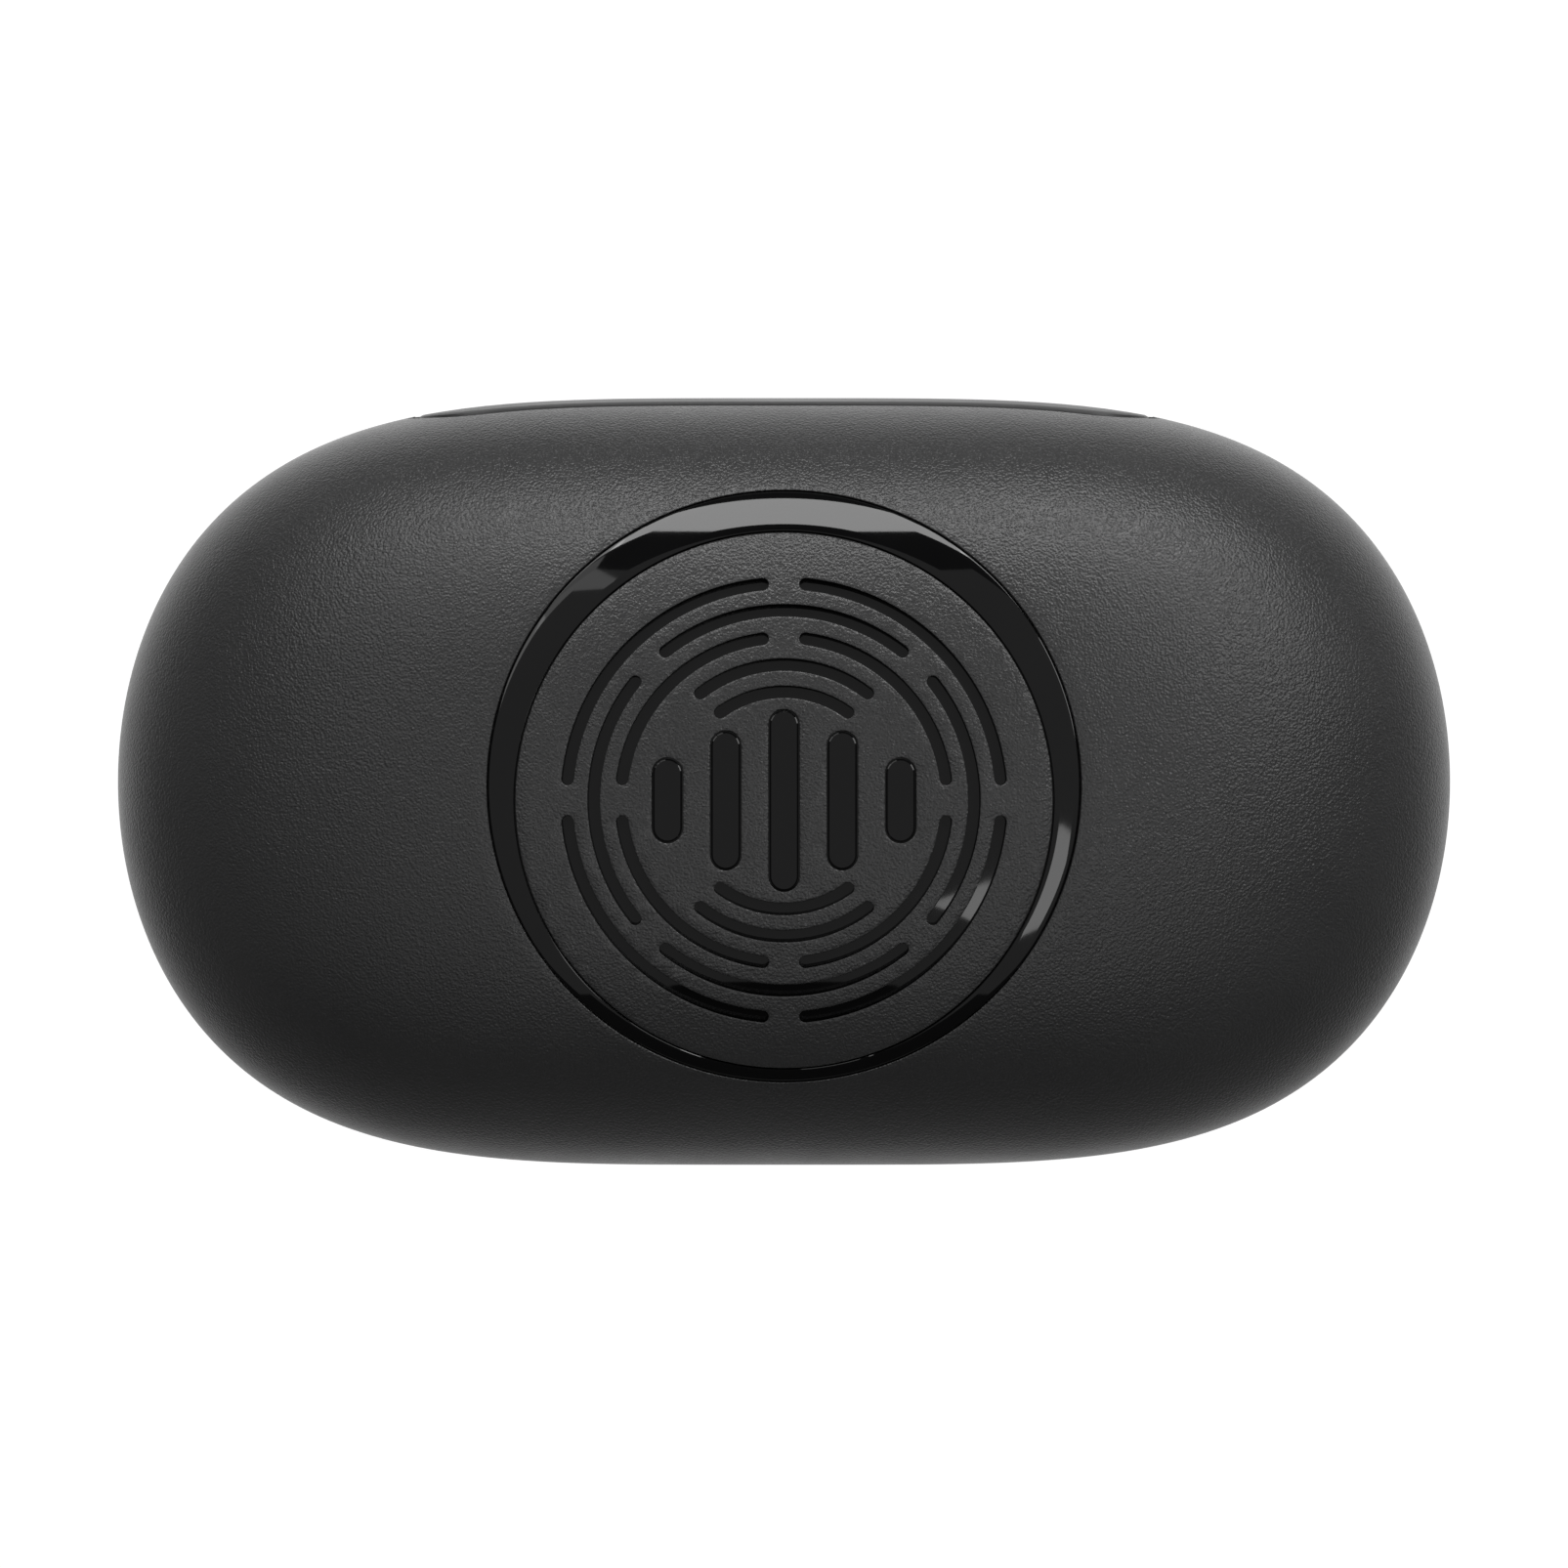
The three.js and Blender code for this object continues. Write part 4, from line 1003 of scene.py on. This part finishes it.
def stem_channel(z, depth, grow):
    """A stem channel with a rounded floor edge, hanging from z by depth."""
    way = math.copysign(1, depth)
    far = z - way * (abs(depth) + grow)
    edge = STEM["edge"]
    loops = []
    for inset, level in [(0.0, z + way * 0.5)] + [
        (edge * across, far + way * edge * down) for across, down in FILLET
    ]:
        x, y = np.array(capsule(STEM["from"], STEM["to"], STEM["radius"] + grow - inset)).T
        loops.append(xyz(x, y, level))
    return loops_mesh(loops)


def wells(z, bowl_depth, stem_depth, grow):
    """Both wells' bowls and stem channels, grown by a wall."""
    return both(bowl(z, bowl_depth, grow)) + both(stem_channel(z, stem_depth, grow))


def pocket(grow, z0, z1):
    """The dongle's pocket, grown by a wall."""
    flat = rounded_rect(0, 0, DONGLE["half_x"] + grow, DONGLE["half_y"] + grow, DONGLE["corner"] + grow)
    return prism(flat, z0, z1)


def contact_centre(name):
    low, high = box_mm(f"contact_pin_{name}")
    return (low[0] + high[0]) / 2, (low[1] + high[1]) / 2


def make_cradle():
    """The tray in the base, with its wells, pocket and contact holes."""
    inset = RIM_WALL + TRAY_FIT
    thick = CRADLE_TOP - CRADLE_BOTTOM
    floor = CRADLE_TOP - DONGLE["depth"]
    cups = wells(CRADLE_BOTTOM, CRADLE_BOWL_DEPTH - thick, CRADLE_STEM_DEPTH - thick, TRAY_WALL)
    cups.append(pocket(TRAY_WALL, floor - TRAY_WALL, CRADLE_BOTTOM + 0.5))
    under = combine(cups[0], cups[1:], "UNION")
    under = combine(under, [pebble_slice(WALL + 0.2, 3, CRADLE_BOTTOM + 0.8)], "INTERSECT")
    mesh = combine(tray_blank(CRADLE_BOTTOM, CRADLE_TOP, inset), [under], "UNION")
    cuts = wells(CRADLE_TOP, CRADLE_BOWL_DEPTH, CRADLE_STEM_DEPTH, 0)
    cuts.append(pocket(0, floor, CRADLE_TOP + 2))
    half = COVER_HALF + 0.4
    cuts.append(block(-half, half, CRADLE_BACK, 30, 5, 30))
    for name in CONTACTS:
        x, y = contact_centre(name)
        cuts.append(cylinder(CONTACT["hole"], (x, y, 5), (x, y, CRADLE_TOP)))
    mesh = combine(mesh, cuts, "DIFFERENCE")
    soften(mesh, CRADLE_TOP, WELL_EDGE)
    show("cradle_skin", mesh, "base", "satin_black", "cradle")


def make_liner():
    """The tray in the lid, with the wells' upper halves."""
    inset = RIM_WALL + TRAY_FIT
    thick = LINER_TOP - LINER_BOTTOM
    cups = wells(LINER_TOP, thick - LINER_BOWL_DEPTH, thick - LINER_STEM_DEPTH, TRAY_WALL)
    under = combine(cups[0], cups[1:], "UNION")
    mesh = combine(tray_blank(LINER_BOTTOM, LINER_TOP, inset), [under], "UNION")
    half = COVER_HALF + 1.1
    gap = 0.3
    cuts = wells(LINER_BOTTOM, -LINER_BOWL_DEPTH, -LINER_STEM_DEPTH, 0)
    cuts.append(block(-half, half, LINER_BACK, 30, 5, 40))
    cuts += both(block(ARM["from"] - gap, ARM["to"] + gap, BRACKET["front"] - gap, 30, 5, 40))
    mesh = combine(mesh, cuts, "DIFFERENCE")
    soften(mesh, LINER_BOTTOM, WELL_EDGE)
    show("lid_liner_skin", mesh, "lid", "satin_black", "lid_liner")


# ---------- contacts, port and light


def turned(x, y, profile, sides=32):
    """A turned piece about an upright axis, from (radius, z) pairs between two points on the axis."""
    turns = full_turn(sides)
    loops = [xyz(x + r * np.cos(turns), y + r * np.sin(turns), z) for r, z in profile[1:-1]]
    return loops_mesh(loops, start=(x, y, profile[0][1]), end=(x, y, profile[-1][1]))


def make_contact(name):
    """One charging contact: its plunger, which slides, and its coil spring."""
    x, y = contact_centre(name)
    low, high = box_mm(f"contact_pin_{name}")
    foot, tip = low[2], high[2]
    radius, edge, rise = CONTACT["radius"], CONTACT["edge"], CONTACT["dome"]
    turns = np.linspace(0, QUARTER, 7)[:-1]
    dome = [(radius * math.cos(a), tip - rise + rise * math.sin(a)) for a in turns]
    profile = [(0, foot), (radius - edge, foot), (radius, foot + edge), *dome, (0, tip)]
    pin = turned(x, y, profile)
    show(f"contact_plunger_{name}", pin, f"contact_{name}", "gold", f"contact_pin_{name}")
    bottom, top = (v[2] for v in box_mm(f"contact_spring_{name}"))
    thick = COIL["wire"]
    angles = np.linspace(0, COIL["turns"] * 2 * math.pi, 120)
    path = xyz(
        x + COIL["radius"] * np.cos(angles), y + COIL["radius"] * np.sin(angles),
        np.linspace(bottom + thick, top - thick, len(angles)),
    )
    press = (
        "base", f"contact_{name}",
        Vector((x, y, bottom + 2 * thick)) * MM, Vector((x, y, top - 2 * thick)) * MM,
    )
    coil = tube(path, thick, sides=8)
    show(f"contact_coil_{name}", coil, press, "steel", f"contact_spring_{name}", crease=60)


def slot_loop(half_x, half_z, y):
    """The port's slot, upright in the plane at y."""
    x, z = np.array(capsule_xz(half_x, half_z, PORT_Z)).T
    return xyz(x, y, z)


def make_port_surround():
    """The gloss ring round the port, its mouth flared and following the back wall."""
    seat = PORT["seat"] - 0.06
    outer = (PORT["half_x"] + seat, PORT["half_z"] + seat)
    inner = (PORT["half_x"] + 0.12, PORT["half_z"] + 0.12)

    def at_wall(grow, sink):
        loop = slot_loop(inner[0] + grow, inner[1] + grow, 0.0)
        loop[:, 1] = back_depth(loop[:, 0], loop[:, 2]) - sink
        return loop

    band = outer[0] - inner[0]
    front = 16.62
    loops = [slot_loop(outer[0], outer[1], front)]
    edge, flare = 0.12, 0.32
    for across, down in FILLET:
        loops.append(at_wall(band - edge * across, edge * (1 + down)))
    for a in np.linspace(0, QUARTER, 6):
        loops.append(at_wall(flare * math.cos(a), edge + flare * math.sin(a)))
    loops.append(slot_loop(inner[0], inner[1], front))
    points = [p for loop in loops for p in loop]
    mesh = mesh_from(points, bands(len(loops), len(loops[0]), len(points)))
    show("port_surround_ring", mesh, "base", "gloss_black", "usb_port_surround")


def make_usb_shell():
    """The receptacle's drawn steel shell, open at the back and shut in front."""
    low, high = box_mm("usb_shell")
    wall, lip, edge = PORT["wall"], 0.1, 0.04
    profile = [
        (0.0, low[1]), (0.0, high[1] - lip), (edge, high[1]),
        (wall - edge, high[1]), (wall, high[1] - lip), (wall, low[1] + 0.8),
    ]
    half_x, half_z = PORT["half_x"], PORT["half_z"]
    mesh = loops_mesh([slot_loop(half_x - inset, half_z - inset, y) for inset, y in profile])
    show("usb_shell_skin", mesh, "base", "steel", "usb_shell")


def make_usb_tongue():
    """The receptacle's tongue, with its two rows of gold contacts standing just proud."""
    low, high = box_mm("usb_tongue")
    y0, y1 = low[1], high[1]
    (half_x, half_z), (root_x, root_z) = TONGUE["half"], TONGUE["root_half"]
    root = block(-root_x, root_x, y0, y0 + TONGUE["root"], PORT_Z - root_z, PORT_Z + root_z)
    tongue = block(-half_x, half_x, y0, y1, PORT_Z - half_z, PORT_Z + half_z)
    mesh = combine(tongue, [root], "UNION")
    show("usb_tongue_skin", mesh, "base", "chip_black", "usb_tongue")
    strips = []
    half, proud = PADS["half"], PADS["proud"]
    for i in range(PADS["count"]):
        x = (i - (PADS["count"] - 1) / 2) * PADS["pitch"]
        for z in (PORT_Z - half_z - 0.01, PORT_Z + half_z + 0.01):
            strips.append(block(x - half, x + half, y0 + 1.6, y1 - 0.5, z - proud, z + proud))
    show("usb_tongue_contacts", joined(strips), "base", "gold")


def make_light_window():
    """The light pipe: a window flush with the front wall, and the leg that stands over the LED."""
    flat = capsule_xz(LIGHT["half"], LIGHT["radius"], LIGHT["z"])

    def on_front(u, v, w):
        return xyz(u, -back_depth(u, v) + LIGHT["proud"] - w, v)

    window = plate([flat], LIGHT["thick"], edge=0.1, cell=0.5, place=on_front)
    low, _ = box_mm("light_pipe")
    leg = block(-1.2, 1.2, -15.6, -14, low[2], LIGHT["z"] + 0.42)
    bridge = block(-2.1, 2.1, -15.9, -14, LIGHT["z"] - 0.5, LIGHT["z"] + 0.5)
    mesh = combine(window, [leg, bridge], "UNION")
    show("light_pipe_skin", mesh, "base", "light_pipe", "light_pipe")


# ---------- CAD pieces that keep their shape


def dress_cad_nodes():
    """Gives every CAD node its slot's look and a small bevel."""
    slots = {row["node"]: row["material_slot"] for row in frame["record"]["subparts"]}
    for name, piece in frame["nodes"].items():
        piece.data.materials.clear()
        piece.data.materials.append(LOOKS[slots[name]])
        bevel = piece.modifiers.new("edges", "BEVEL")
        bevel.width = 0.06 * MM
        bevel.segments = 2
        bevel.limit_method = "ANGLE"
        bevel.angle_limit = math.radians(40)


# ---------- stage, camera and light

FLOOR_GLOW = 1.0
WORLD_GLOW = 0.03
POOL_Y = 23.0
FRAME_WIDTH = 82.5
CAMERA_DISTANCE = 650.0
CAMERA_OFFSET_Y = -0.13
SENSOR = 36.0
LAMP_DISTANCE = 0.6


def make_camera():
    camera = bpy.data.cameras.new("camera")
    camera.sensor_width = SENSOR
    camera.lens = SENSOR * CAMERA_DISTANCE / FRAME_WIDTH
    camera.clip_start = 0.01
    holder = placed("camera", camera)
    holder.location = (0, CAMERA_OFFSET_Y * MM, (BELT_Z + CAMERA_DISTANCE) * MM)
    bpy.context.scene.camera = holder


def floor_material(name, glow):
    """A glowing white floor whose strength comes from a graph of place."""
    material, tree, shader = new_material(
        name, Base_Color=(0.1, 0.1, 0.1, 1), Roughness=0.9, Specular_IOR_Level=0.0,
        Emission_Color=(1, 1, 1, 1),
    )
    tree.links.new(glow(tree), shader.inputs["Emission Strength"])
    return material


def far_out(tree, location, scale):
    """How far a place on the floor lies from a centre, in units of an ellipse."""
    inputs = {"Vector": place_of(tree), "Location": location, "Scale": scale}
    scaled = node(tree, "ShaderNodeMapping", inputs).outputs["Vector"]
    return node(tree, "ShaderNodeVectorMath", {0: scaled}, operation="LENGTH").outputs["Value"]


def floor_with_painted_shadow(tree):
    """White, with a painted contact shadow: the glow is turned down softly where the belly nears the floor, by
    place on the floor alone.
    """
    out = far_out(tree, (0, 0, 0), (1 / (HALF_LENGTH * MM), 1 / (HALF_DEPTH * MM), 0))
    return spread(tree, out, 0.25, FLOOR_GLOW, 0.3, 0.98)


def pool(tree):
    """A pool of light round the case and behind it: all of the floor that gloss mirrors."""
    out = far_out(tree, (0, -POOL_Y * MM, 0), (0.7, 1, 0))
    return spread(tree, out, 0.9, 0.03, 0.018, 0.078)


def make_floor():
    """A pale light table, and just below it the pool of light that only gloss sees."""
    # The floor the camera sees carries a painted contact shadow under the case.
    for name, half, z, glow in (("floor", 6.0, 0.0, floor_with_painted_shadow), ("floor_pool", 1.0, -0.00001, pool)):
        corners = [(-half, -half, z), (half, -half, z), (half, half, z), (-half, half, z)]
        mesh = bpy.data.meshes.new(name)
        mesh.from_pydata(corners, [], [(0, 1, 2, 3)])
        mesh.materials.append(floor_material(name, glow))
        floor = placed(name, mesh)
        only_gloss = glow is pool
        floor.visible_glossy = only_gloss
        floor.visible_camera = floor.visible_diffuse = floor.visible_transmission = not only_gloss
        floor.visible_shadow = False


def make_world():
    world = bpy.data.worlds.new("studio")
    world.use_nodes = True
    background = world.node_tree.nodes["Background"]
    background.inputs["Color"].default_value = (1, 1, 1, 1)
    background.inputs["Strength"].default_value = WORLD_GLOW
    bpy.context.scene.world = world


def softbox(name, azimuth, elevation, wide, tall, glow):
    """A rectangular light facing the case. Azimuth 0 is the back and 90 the right."""
    light = bpy.data.lights.new(name, "AREA")
    light.shape = "RECTANGLE"
    light.size = 2 * LAMP_DISTANCE * math.tan(math.radians(wide / 2))
    light.size_y = 2 * LAMP_DISTANCE * math.tan(math.radians(tall / 2))
    light.energy = glow * math.pi * light.size * light.size_y
    lamp = placed(name, light)
    a, e = math.radians(azimuth), math.radians(elevation)
    away = Vector((math.sin(a) * math.cos(e), math.cos(a) * math.cos(e), math.sin(e)))
    lamp.location = away * LAMP_DISTANCE + Vector((0, 0, BELT_Z * MM))
    lamp.rotation_euler = away.to_track_quat("Z", "Y").to_euler()


# Name, azimuth, elevation, width and height in degrees, and glow.
SOFTBOXES = [
    ("back_left", -26, 32.5, 24, 17, 3.6),
    ("back_middle", 2, 32.5, 24, 17, 5.8),
    ("back_right", 30, 32.5, 24, 17, 5.8),
    ("right", 58, 32.5, 24, 17, 1.4),
    ("upper_left", -54, 52, 18, 18, 1.6),
    ("upper_back", -26, 52, 18, 18, 1.1),
    ("upper_right", 64, 48, 18, 18, 3.3),
    ("overhead", 0, 90, 70, 70, 0.26),
    ("right_glint", 131, 73, 14, 8, 3.0),
]


# ---------- build

bpy.context.scene.view_settings.view_transform = "Standard"
dress_cad_nodes()
make_base_shell()
make_lid_shell()
make_emblem_disc()
make_emblem_insert()
make_hinge_cover()
make_hinge_pin()
make_hinge_spring()
make_cradle()
make_liner()
for contact in CONTACTS:
    make_contact(contact)
make_port_surround()
make_usb_shell()
make_usb_tongue()
make_light_window()
make_floor()
make_world()
for box in SOFTBOXES:
    softbox(*box)
make_camera()
